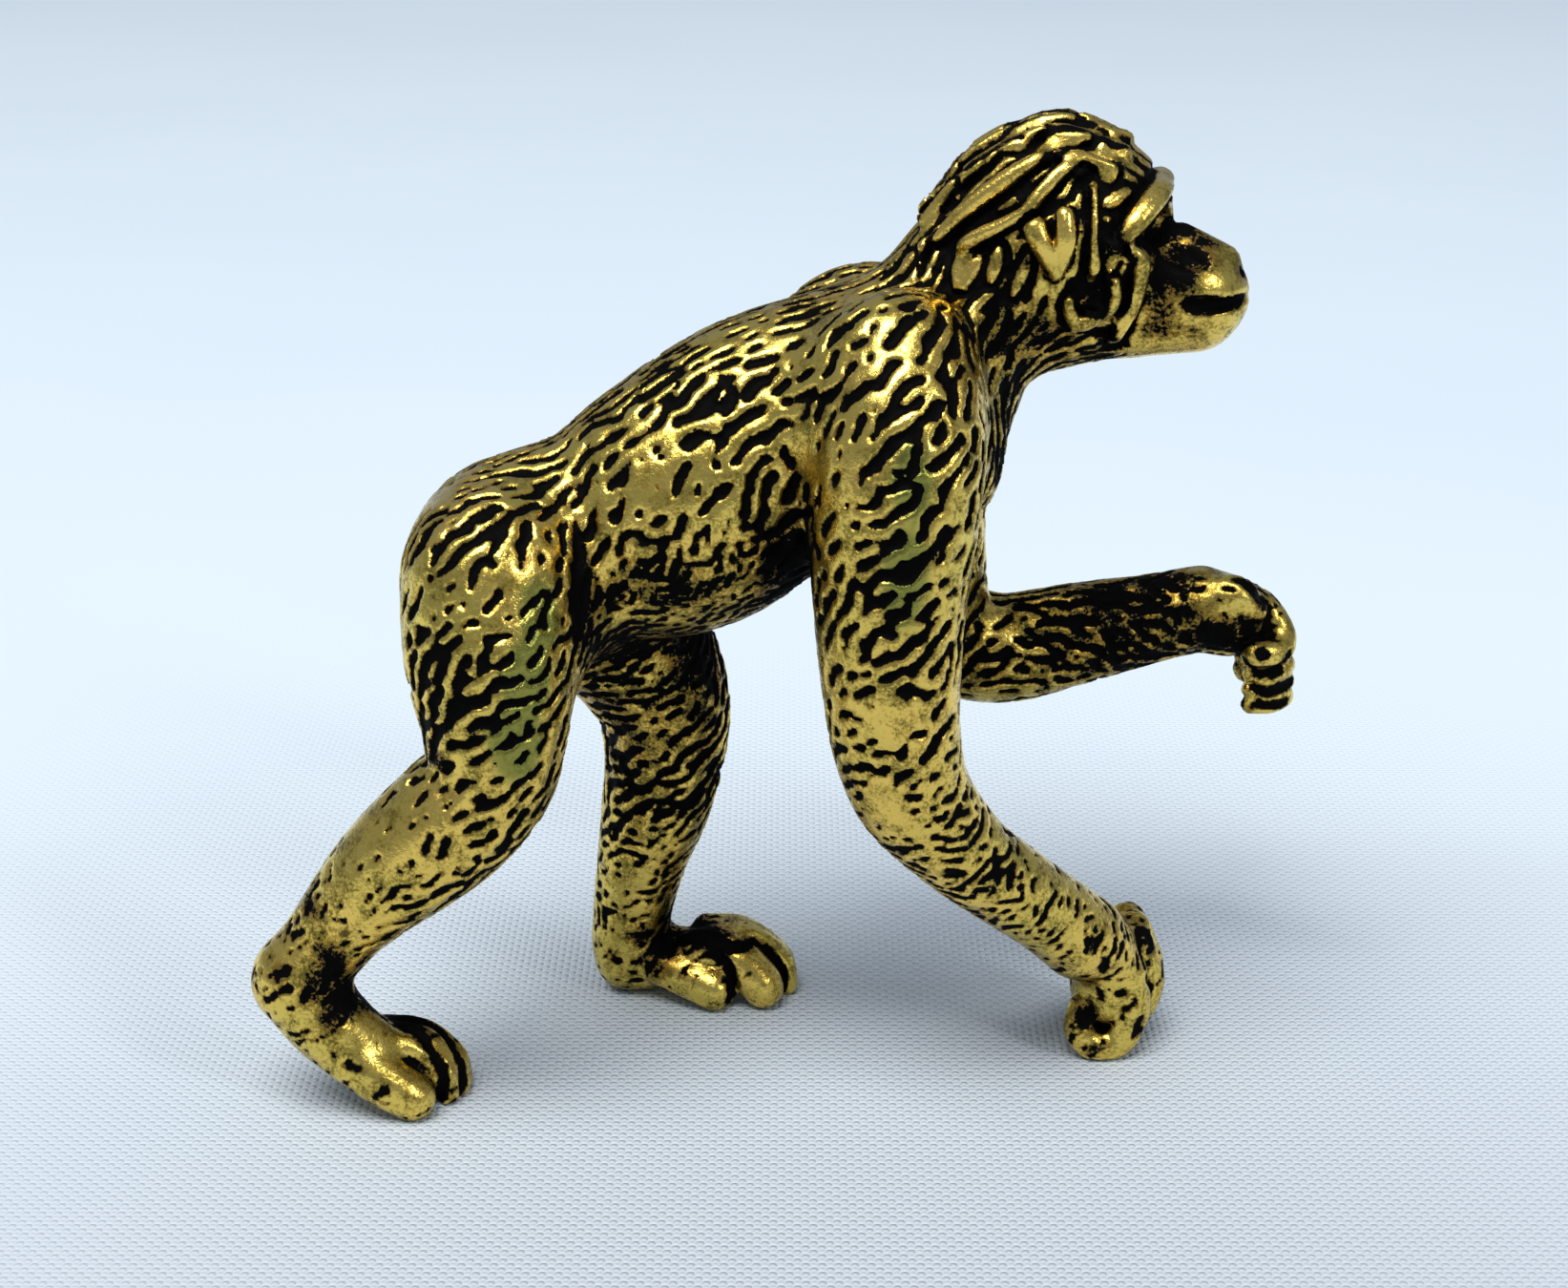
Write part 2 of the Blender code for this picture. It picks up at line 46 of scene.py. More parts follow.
# The sculpture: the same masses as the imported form, in a finer block of distances.
# Sizes are in millimetres and angles in degrees. A station is x, y, z and the radius there.
MM = 0.001
FAR = 2.5
FINE_CELL = 0.2
FINE_FACES = 190000
BLOCK_LOW = (-27.5, -12.6, -0.8)
BLOCK_HIGH = (31.7, 12.6, 50.2)
BLOCK_MARGIN = 0.8
RANDOM_SEED = 7

# Hair strokes: how many, how much their direction swings, their fade along and how far they are drawn
TUFT_COUNT = 10000
TUFT_SWING = 0.4
TUFT_FADE = 0.38
TUFT_REACH = 2.1
ANCHOR_SOFTNESS = 0.4
LEAST_WEIGHT = 0.05
# The ragged share added to their sum, and where the sum sinks into a groove
RAGGED_GRAINS = (3.0, 0.8, 0.45)
RAGGED_SHARE = 0.36
GROOVE_BARE = 1.2
GROOVE_COVER = 1.3
GROOVE_EDGE = 0.35
LEAST_GROOVE = 0.06
MOAT_REACH = 1.0
MOAT_EDGE = 0.2
CREASE_EDGE = 0.15

# How near a wall darkens the skin, and the lines of sight that find sheltered places
WALL_REACH = 0.45
SIGHT_LEANS = (20.0, 50.0, 72.0)
SIGHT_STEPS = (1.2, 2.0, 3.0, 4.5, 6.5, 9.0, 12.0)
SIGHT_WAYS = 8

# Room, its lengths in metres but for the camera's place
YARN = 0.000385
YARN_TURN = 8.0
CAMERA_PLACE = (-18.343, -138.557, 72.7)
CAMERA_LENS = 65.7
CAMERA_DROP = 19.7
CAMERA_TURN = -8.0
FLOOR_REACH = 2.0

# How far two masses melt into each other where they meet
LIMB_BLEND = 1.8
MUSCLE_BLEND = 1.5
FOOT_BLEND = 0.8
THUMB_BLEND = 0.3
DIGIT_BLEND = 0.15
CREASE_BLEND = 0.12

# Trunk
TRUNK_WIDTH = 0.94
TRUNK = (
    (-12.3, 0.0, 27.5, 5.75),  # rump
    (-7.9, 0.0, 29.1, 5.65),  # loin
    (-3.9, 0.0, 30.65, 6.8),  # belly
    (0.1, 0.0, 33.2, 6.8),  # ribs
    (4.0, 0.0, 34.5, 6.7),  # chest
    (6.9, 0.0, 36.1, 6.0),  # between the shoulders
    (9.3, -0.1, 38.8, 4.85),  # neck
    (11.4, -0.3, 41.4, 4.7),  # under the skull
)
BUTTOCK = (-12.9, 3.0, 26.2)
BUTTOCK_RADII = (4.3, 3.5, 4.6)
BUTTOCK_PITCH = 10.0
SHOULDER_BLADE = (5.0, 4.8, 37.0)
SHOULDER_BLADE_RADII = (4.6, 2.6, 4.0)
SHOULDER_BLADE_PITCH = 35.0
BREAST = (9.1, 3.2, 33.4)
BREAST_RADII = (2.6, 3.2, 3.6)

# Right hind leg, pushing off behind with its heel up
RIGHT_LEG = (
    (-13.9, -3.6, 28.0, 4.5),  # hip
    (-14.2, -4.9, 24.6, 4.3),  # thigh
    (-14.1, -5.5, 20.9, 3.65),  # above the knee
    (-14.6, -5.7, 18.2, 3.3),  # knee
    (-16.5, -5.4, 16.0, 3.4),  # top of the calf
    (-18.6, -5.1, 14.1, 3.2),  # calf
    (-20.3, -4.8, 12.5, 2.85),
    (-21.9, -4.5, 10.7, 2.45),
    (-23.2, -4.3, 9.0, 2.25),  # ankle
    (-24.3, -4.2, 7.7, 2.2),
)
RIGHT_FOOT = ((-24.7, -4.2, 7.0, 2.25), (-22.8, -4.6, 4.4, 2.1), (-21.0, -4.8, 3.1, 1.7))
RIGHT_TOE_PAD = (-18.8, -4.4, 1.7)
RIGHT_OUTER_TOE = ((-22.4, -5.4, 3.4, 1.4), (-20.6, -6.0, 2.1, 1.4), (-19.1, -6.3, 1.05, 1.25))
RIGHT_BIG_TOE = ((-22.6, -3.4, 4.0, 1.3), (-20.8, -2.6, 2.6, 1.1), (-19.4, -2.1, 1.0, 1.05))
RIGHT_TOES = ((-17.3, -5.15), (-16.75, -4.4), (-16.55, -3.7))

# Left hind leg, flat on the ground below the belly
LEFT_LEG = (
    (-10.5, 3.6, 26.0, 4.8),  # hip
    (-6.9, 4.6, 22.3, 4.3),  # thigh
    (-4.9, 5.3, 18.4, 3.75),  # above the knee
    (-4.6, 5.6, 15.0, 3.35),  # knee
    (-5.1, 6.0, 11.6, 3.0),  # calf
    (-5.8, 6.4, 8.6, 2.55),
    (-6.35, 6.8, 5.6, 2.25),  # ankle
    (-6.6, 7.0, 3.4, 2.15),
)
LEFT_FOOT = ((-6.7, 7.0, 1.8, 1.9), (-4.2, 6.5, 1.9, 1.75), (-2.2, 5.9, 2.0, 1.5))
LEFT_TOE_PAD = (0.1, 5.3, 1.7)
LEFT_BIG_TOE = ((-4.9, 5.2, 2.0, 1.2), (-3.4, 4.3, 1.6, 1.25), (-2.25, 3.7, 1.15, 1.25))
LEFT_INNER_TOE = (
    (-3.0, 5.0, 3.0, 1.2),
    (-1.3, 4.4, 2.9, 1.25),
    (0.1, 3.7, 1.6, 1.25),
    (0.45, 3.5, 1.1, 1.15),
)
LEFT_TOES = ((1.95, 4.95), (2.0, 5.65), (1.7, 6.3))

# A small toe arches back from its tip: along the foot, height and radius, tip last
TOE_ARCH = ((-3.9, 3.3, 1.0), (-1.9, 3.3, 0.77), (-0.3, 2.0, 0.68), (0.0, 0.58, 0.68))
TOE_SLANT = 0.1
TOE_PAD_RADII = (1.9, 1.5, 1.4)

# Right arm, planted on its knuckles
RIGHT_ARM = (
    (6.2, -5.2, 38.6, 3.5),  # top of the shoulder
    (5.9, -7.0, 35.4, 4.1),  # shoulder
    (5.5, -7.6, 31.8, 4.15),
    (5.25, -7.9, 28.1, 3.85),  # upper arm
    (5.3, -8.1, 23.8, 3.5),
    (5.6, -8.2, 20.3, 3.25),  # above the elbow
    (6.6, -8.0, 17.1, 2.95),  # elbow
    (9.3, -7.4, 13.6, 2.45),  # forearm
    (12.0, -6.5, 11.1, 2.3),
    (14.4, -5.5, 8.95, 2.25),  # wrist
    (16.3, -4.7, 7.1, 2.35),
)
RIGHT_HAND_BACK = (17.6, -3.6, 6.0)
RIGHT_HAND_BACK_RADII = (2.8, 2.7, 1.9)
RIGHT_HAND_PITCH = -48.0
RIGHT_PALM = (17.9, -3.5, 3.6)
RIGHT_PALM_RADII = (1.7, 2.3, 2.3)
RIGHT_LITTLE_FINGER = (
    (18.7, -4.6, 4.6, 1.4),  # knuckle
    (19.1, -4.9, 2.7, 1.1),
    (18.5, -4.95, 0.95, 0.95),
    (17.2, -4.9, 0.75, 0.9),
    (16.4, -4.8, 1.7, 0.85),
    (16.6, -4.6, 2.8, 0.8),  # fingertip
)
RIGHT_FINGER = (
    (19.0, 5.9, 1.05),  # knuckle: x, z and radius
    (19.95, 3.6, 0.88),
    (19.2, 1.4, 0.8),
    (18.0, 0.6, 0.75),
    (17.2, 1.4, 0.7),  # fingertip
)
RIGHT_FINGER_SHIFTS = ((0.5, -3.6, 0.15), (0.75, -2.5, 0.35), (0.7, -1.5, 0.4))
RIGHT_THUMB = (
    (16.6, -1.9, 6.3, 1.1),
    (17.3, -0.9, 4.6, 0.95),
    (17.6, -0.6, 2.8, 0.85),
    (18.4, -0.7, 1.6, 0.75),
)
FIST_PIT = (16.6, -5.55, 2.8)
FIST_PIT_RADII = (0.65, 0.55, 0.75)

# Left arm, lifted in front with the fist hanging from the wrist
LEFT_ARM = (
    (6.8, 5.0, 37.5, 3.5),  # top of the shoulder
    (8.6, 6.8, 34.2, 3.8),  # shoulder
    (9.7, 8.0, 29.5, 3.6),  # upper arm
    (10.1, 8.6, 24.4, 3.4),
    (11.2, 9.0, 20.0, 3.2),  # elbow
    (14.4, 8.8, 18.6, 3.1),
    (18.9, 8.4, 19.4, 2.85),  # forearm
    (22.9, 8.0, 20.2, 2.5),
    (25.6, 7.6, 20.8, 2.4),  # wrist
)
LEFT_PALM = (27.4, 7.4, 20.3)
LEFT_PALM_RADII = (2.1, 1.9, 2.3)
LEFT_PALM_PITCH = -25.0
LEFT_KNUCKLES = (29.2, 6.9, 17.6)
LEFT_KNUCKLES_RADII = (0.9, 1.2, 1.9)
LEFT_INDEX_FINGER = (
    (27.6, 7.9, 20.8, 1.2),  # knuckle
    (29.0, 7.6, 20.8, 1.0),
    (30.1, 6.9, 19.4, 0.85),
    (29.7, 5.9, 18.7, 0.8),
    (28.2, 5.4, 18.7, 0.78),  # fingertip
)
LEFT_FINGER = (
    (28.7, 8.0, 1.2, 0.85),  # knuckle: x, y, height above the finger and radius
    (30.0, 7.7, 0.3, 0.64),
    (30.4, 6.6, 0.0, 0.58),
    (29.4, 5.7, -0.1, 0.56),
    (28.2, 5.7, -0.1, 0.54),  # fingertip
)
LEFT_FINGER_HEIGHTS = (17.6, 16.65, 15.75)
LEFT_THUMB = ((25.6, 6.9, 21.5, 1.3), (27.2, 6.1, 22.0, 1.1), (28.1, 6.0, 21.2, 0.85))

# Head, in its own frame: forward, left and up from the middle of the skull
HEAD = (14.4, -0.4, 44.1)
HEAD_YAW = -16.0
SKULL = (0.5, 0.0, 0.1)
SKULL_RADII = (5.6, 5.1, 5.3)
FOREHEAD = (2.6, 0.0, 1.1)
FOREHEAD_RADII = (3.2, 3.4, 3.0)
CHEEKS = (1.1, 0.0, -2.2)
CHEEKS_RADII = (4.2, 4.3, 3.9)
JAW = ((-2.2, 0.0, -4.2, 3.6), (2.0, 0.0, -3.6, 3.1), (5.0, 0.0, -3.9, 2.4), (7.4, 0.0, -4.1, 1.9))
MUZZLE = (6.9, 0.0, -2.75)
MUZZLE_RADII = (3.25, 2.9, 2.6)
MUZZLE_PITCH = -18.0
NOSE = ((6.6, 0.0, -0.2, 0.7), (8.6, 0.0, -1.5, 1.0))
NOSTRIL = (9.3, 0.5, -1.9)
NOSTRIL_RADII = (0.5, 0.3, 0.25)
MUZZLE_HOLLOW = (6.5, 2.1, -0.4)
MUZZLE_HOLLOW_RADII = (1.7, 0.9, 0.8)
MUZZLE_HOLLOW_PITCH = -30.0
EYE_SOCKET = (5.7, 1.9, 0.6)
EYE_SOCKET_RADII = (1.4, 1.5, 1.0)
EYE_SOCKET_YAW = 25.0
EYE = (4.75, 1.85, 0.65)
EYE_RADII = (0.7, 0.75, 0.6)
BROW = ((3.6, 4.3, 0.2, 0.55), (4.7, 3.4, 1.5, 0.7), (5.4, 1.8, 2.2, 0.72), (5.5, 0.0, 2.1, 0.62))
MOUTH = ((6.7, 3.0, -3.0, 0.2), (7.3, 2.8, -3.05, 0.42), (8.5, 2.3, -3.1, 0.4))
MOUTH_FRONT = ((9.7, 1.2, -3.0, 0.25), (10.2, 0.0, -3.0, 0.2))
EAR_FRONT = ((1.0, 5.3, 1.7, 0.5), (1.1, 5.6, 0.4, 0.5), (0.7, 5.2, -1.2, 0.35))
EAR_BACK = ((-0.4, 5.4, 1.1, 0.65), (0.0, 5.6, 0.2, 0.55), (0.6, 5.2, -1.1, 0.35))

# Locks of hair and folds of the face that lie on the skin of the head
FACE_EDGE = (
    (4.2, 3.9, -0.4, 0.45),
    (4.7, 3.6, -1.0, 0.65),
    (4.6, 3.4, -3.0, 0.5),
    (3.7, 3.6, -5.0, 0.5),
)
JOWL = ((3.3, 4.4, -1.5, 0.5), (3.4, 4.3, -3.0, 0.55), (1.7, 4.5, -3.9, 0.6), (1.2, 4.6, -2.6, 0.5))
SIDEBURN = ((2.3, 4.7, 3.0, 0.35), (2.4, 4.9, 1.0, 0.35), (2.4, 4.8, -0.9, 0.45))
EAR_LOCK = (
    (-4.0, 4.0, -0.2, 0.45),
    (-1.2, 4.9, 1.5, 0.45),
    (-0.2, 4.9, 3.0, 0.45),
    (0.9, 4.3, 3.9, 0.5),
    (1.9, 4.0, 3.8, 0.4),
)
CROWN_LOCKS = (
    ((3.4, 2.9, 3.6, 0.4), (0.2, 3.6, 4.4, 0.5), (-3.2, 3.8, 2.4, 0.5), (-5.4, 3.2, -0.8, 0.45)),
    ((3.6, 1.7, 4.2, 0.4), (0.2, 2.0, 5.3, 0.5), (-3.6, 2.2, 3.6, 0.5), (-5.8, 1.9, 0.4, 0.45)),
    ((3.6, 0.6, 4.3, 0.35), (0.2, 0.6, 5.6, 0.5), (-3.8, 0.7, 4.0, 0.5), (-6.1, 0.6, 0.9, 0.45)),
)
LOCK_RISE = 0.08
LOCK_BLEND = 0.25


class Clay:
    """A block of space that holds, at each grid point, the distance to the body's skin."""

    def __init__(self, low, high, cell):
        self.cell = cell
        self.low = np.array(low) - BLOCK_MARGIN
        counts = np.ceil((np.array(high) + BLOCK_MARGIN - self.low) / cell).astype(int) + 1
        self.axes = [(self.low[i] + cell * np.arange(counts[i])).astype(np.float32) for i in range(3)]
        self.field = np.full(counts, FAR, np.float32)

    def window(self, form, margin):
        """The slice of the block near a form, with the form's distances there."""
        cuts = []
        for axis, low, high in zip(self.axes, form.low - margin, form.high + margin):
            first, last = np.searchsorted(axis, (low, high))
            cuts.append(slice(max(first - 1, 0), last + 1))
        x, y, z = (axis[cut] for axis, cut in zip(self.axes, cuts))
        return tuple(cuts), form.distance(x[:, None, None], y[None, :, None], z[None, None, :])

    def add(self, form, blend):
        cuts, distance = self.window(form, FAR)
        before = self.field[cuts]
        melt = np.maximum(blend - np.abs(distance - before), 0.0) ** 2 / (4.0 * blend)
        self.field[cuts] = np.minimum(distance, before) - melt

    def cut(self, form, blend):
        cuts, distance = self.window(form, blend + self.cell)
        before = self.field[cuts]
        melt = np.maximum(blend - np.abs(-distance - before), 0.0) ** 2 / (4.0 * blend)
        self.field[cuts] = np.maximum(-distance, before) + melt

    def distance_at(self, point):
        place = (np.array(point) - self.low) / self.cell
        corner = np.clip(place.astype(int), 0, np.array(self.field.shape) - 2)
        part = place - corner
        i, j, k = corner
        near = self.field[i : i + 2, j : j + 2, k : k + 2]
        for share in part:
            near = near[0] * (1.0 - share) + near[1] * share
        return float(near)

    def settle(self, point, rise):
        """Slides a point straight to the given height above the skin."""
        point = np.array(point, float)
        for _ in range(5):
            steps = np.eye(3) * self.cell
            ends = [(self.distance_at(point + s), self.distance_at(point - s)) for s in steps]
            slope = np.array([ahead - behind for ahead, behind in ends])
            slope /= max(np.linalg.norm(slope), 1e-6)
            point -= slope * (self.distance_at(point) - rise)
        return point


class Limb:
    """A skin stretched over balls along a smooth curve through the stations."""

    STEPS = 6

    def __init__(self, stations, width=1.0):
        self.width = width
        self.run = self.curve(np.array(stations, float))
        radius = self.run[:, 3].max()
        self.low = self.run[:, :3].min(axis=0) - radius
        self.high = self.run[:, :3].max(axis=0) + radius

    def curve(self, stations):
        ends = np.vstack([2 * stations[0] - stations[1], stations, 2 * stations[-1] - stations[-2]])
        points = []
        for before, start, end, after in zip(ends, ends[1:], ends[2:], ends[3:]):
            for t in np.arange(self.STEPS) / self.STEPS:
                bend = (2 * before - 5 * start + 4 * end - after) * t * t
                twist = (3 * start - before - 3 * end + after) * t**3
                points.append(0.5 * (2 * start + (end - before) * t + bend + twist))
        return np.array(points + [stations[-1]])

    def distance(self, x, y, z):
        nearest = np.inf
        for start, end in zip(self.run, self.run[1:]):
            bone = (end - start)[:3] / (1.0, self.width, 1.0)
            px, py, pz = x - start[0], (y - start[1]) / self.width, z - start[2]
            along = np.clip((px * bone[0] + py * bone[1] + pz * bone[2]) / (bone @ bone), 0.0, 1.0)
            off = sum((p - b * along) ** 2 for p, b in zip((px, py, pz), bone))
            nearest = np.minimum(nearest, np.sqrt(off) - (start[3] + (end[3] - start[3]) * along))
        return nearest * min(self.width, 1.0)


class Egg:
    """An ellipsoid, turned by the columns of a rotation."""

    def __init__(self, centre, radii, turned=np.eye(3)):
        self.centre = np.array(centre, float)
        self.radii = np.array(radii, float)
        self.turned = turned
        reach = np.sqrt(((turned * self.radii) ** 2).sum(axis=1))
        self.low = self.centre - reach
        self.high = self.centre + reach

    def distance(self, x, y, z):
        px, py, pz = x - self.centre[0], y - self.centre[1], z - self.centre[2]
        across = [(px * c[0] + py * c[1] + pz * c[2]) / r for c, r in zip(self.turned.T, self.radii)]
        outward = np.sqrt(sum(a * a for a in across))
        slope = np.sqrt(sum((a / r) ** 2 for a, r in zip(across, self.radii)))
        return outward * (outward - 1.0) / np.maximum(slope, 1e-6)


def turn(yaw=0.0, pitch=0.0):
    """Columns that point forward, left and up: yaw turns to the left, pitch lifts the front."""
    (cos_z, cos_y), (sin_z, sin_y) = (f(np.radians((yaw, pitch))) for f in (np.cos, np.sin))
    about_z = np.array([[cos_z, -sin_z, 0], [sin_z, cos_z, 0], [0, 0, 1]])
    about_y = np.array([[cos_y, 0, -sin_y], [0, 1, 0], [sin_y, 0, cos_y]])
    return about_z @ about_y


def on_side(place, side):
    """The same place on the right (side -1) or the left (side 1)."""
    return (place[0], place[1] * side, *place[2:])


HEAD_FACING = turn(yaw=HEAD_YAW)


def on_head(place, side=1):
    """A place given in the head's own frame, on its right (side -1) or its left (side 1)."""
    return np.array(HEAD) + HEAD_FACING @ np.array(on_side(place[:3], side))


def shape_trunk(clay):
    clay.add(Limb(TRUNK, TRUNK_WIDTH), LIMB_BLEND)
    for side in (-1, 1):
        clay.add(Egg(on_side(BUTTOCK, side), BUTTOCK_RADII, turn(pitch=BUTTOCK_PITCH)), MUSCLE_BLEND)
        blade = (on_side(SHOULDER_BLADE, side), SHOULDER_BLADE_RADII)
        clay.add(Egg(*blade, turn(pitch=SHOULDER_BLADE_PITCH)), MUSCLE_BLEND)
        clay.add(Egg(on_side(BREAST, side), BREAST_RADII), MUSCLE_BLEND)


def shape_small_toes(clay, tips):
    """Arched toes, each behind its tip; the roots lie a little further to the left."""
    for tip_x, tip_y in tips:
        roots = [tip_y + TOE_SLANT * abs(back) for back, _, _ in TOE_ARCH]
        toe = [(tip_x + arch[0], y, arch[1], arch[2]) for arch, y in zip(TOE_ARCH, roots)]
        clay.add(Limb(toe), DIGIT_BLEND)


def shape_legs(clay):
    clay.add(Limb(RIGHT_LEG), LIMB_BLEND)
    clay.add(Limb(RIGHT_FOOT), FOOT_BLEND)
    clay.add(Egg(RIGHT_TOE_PAD, TOE_PAD_RADII), DIGIT_BLEND)
    clay.add(Limb(RIGHT_OUTER_TOE), THUMB_BLEND)
    clay.add(Limb(RIGHT_BIG_TOE), THUMB_BLEND)
    shape_small_toes(clay, RIGHT_TOES)
    clay.add(Limb(LEFT_LEG), LIMB_BLEND)
    clay.add(Limb(LEFT_FOOT), FOOT_BLEND)
    clay.add(Egg(LEFT_TOE_PAD, TOE_PAD_RADII), DIGIT_BLEND)
    clay.add(Limb(LEFT_BIG_TOE), THUMB_BLEND)
    clay.add(Limb(LEFT_INNER_TOE), DIGIT_BLEND)
    shape_small_toes(clay, LEFT_TOES)


def shape_right_arm(clay):
    clay.add(Limb(RIGHT_ARM), LIMB_BLEND)
    clay.add(Egg(RIGHT_HAND_BACK, RIGHT_HAND_BACK_RADII, turn(pitch=RIGHT_HAND_PITCH)), FOOT_BLEND)
    clay.add(Egg(RIGHT_PALM, RIGHT_PALM_RADII), FOOT_BLEND)
    clay.add(Limb(RIGHT_LITTLE_FINGER), DIGIT_BLEND)
    for forward, y, raised in RIGHT_FINGER_SHIFTS:
        lifts = np.linspace(1.0, 0.0, len(RIGHT_FINGER)) * raised
        joints = zip(RIGHT_FINGER, lifts)
        finger = [(x + forward, y, z + lift, radius) for (x, z, radius), lift in joints]
        clay.add(Limb(finger), DIGIT_BLEND)
    clay.add(Limb(RIGHT_THUMB), THUMB_BLEND)
    clay.cut(Egg(FIST_PIT, FIST_PIT_RADII), DIGIT_BLEND)


def shape_left_arm(clay):
    clay.add(Limb(LEFT_ARM), LIMB_BLEND)
    clay.add(Egg(LEFT_PALM, LEFT_PALM_RADII, turn(pitch=LEFT_PALM_PITCH)), FOOT_BLEND)
    clay.add(Egg(LEFT_KNUCKLES, LEFT_KNUCKLES_RADII), THUMB_BLEND)
    clay.add(Limb(LEFT_INDEX_FINGER), THUMB_BLEND)
    for height in LEFT_FINGER_HEIGHTS:
        finger = [(x, y, height + above, radius) for x, y, above, radius in LEFT_FINGER]
        clay.add(Limb(finger), DIGIT_BLEND)
    clay.add(Limb(LEFT_THUMB), THUMB_BLEND)


def shape_head(clay):
    def run(stations, side=1):
        return [(*on_head(station, side), *station[3:]) for station in stations]

    def egg(place, radii, side=1, **turned):
        return Egg(on_head(place, side), radii, HEAD_FACING @ turn(**turned))

    def lock(stations, side):
        laid = [(*clay.settle(place[:3], LOCK_RISE), place[3]) for place in run(stations, side)]
        clay.add(Limb(laid), LOCK_BLEND)

    clay.add(egg(SKULL, SKULL_RADII), MUSCLE_BLEND)
    clay.add(egg(FOREHEAD, FOREHEAD_RADII), FOOT_BLEND)
    clay.add(egg(CHEEKS, CHEEKS_RADII), FOOT_BLEND)
    clay.add(Limb(run(JAW)), FOOT_BLEND)
    clay.add(egg(MUZZLE, MUZZLE_RADII, pitch=MUZZLE_PITCH), FOOT_BLEND)
    for side in (-1, 1):
        clay.cut(egg(EYE_SOCKET, EYE_SOCKET_RADII, side, yaw=EYE_SOCKET_YAW * side), LOCK_BLEND)
        clay.add(egg(EYE, EYE_RADII, side), CREASE_BLEND)
        clay.add(Limb(run(BROW, side)), LOCK_BLEND)
        for stations in (FACE_EDGE, JOWL, SIDEBURN, EAR_LOCK, *CROWN_LOCKS):
            lock(stations, side)
        clay.add(Limb(run(EAR_FRONT, side)), DIGIT_BLEND)
        clay.add(Limb(run(EAR_BACK, side)), DIGIT_BLEND)
    clay.add(Limb(run(NOSE)), LOCK_BLEND)
    for side in (-1, 1):
        hollow = egg(MUZZLE_HOLLOW, MUZZLE_HOLLOW_RADII, side, pitch=MUZZLE_HOLLOW_PITCH)
        clay.cut(hollow, LOCK_BLEND)
        clay.cut(egg(NOSTRIL, NOSTRIL_RADII, side), CREASE_BLEND)
    right_half = run(MOUTH + MOUTH_FRONT, -1)
    left_half = run(MOUTH + MOUTH_FRONT[:-1], 1)
    clay.cut(Limb(right_half + left_half[::-1]), CREASE_BLEND)



def both_sides(x, y, *rest):
    """The same row on the right side and on the left."""
    return (x, -y, *rest), (x, y, *rest)


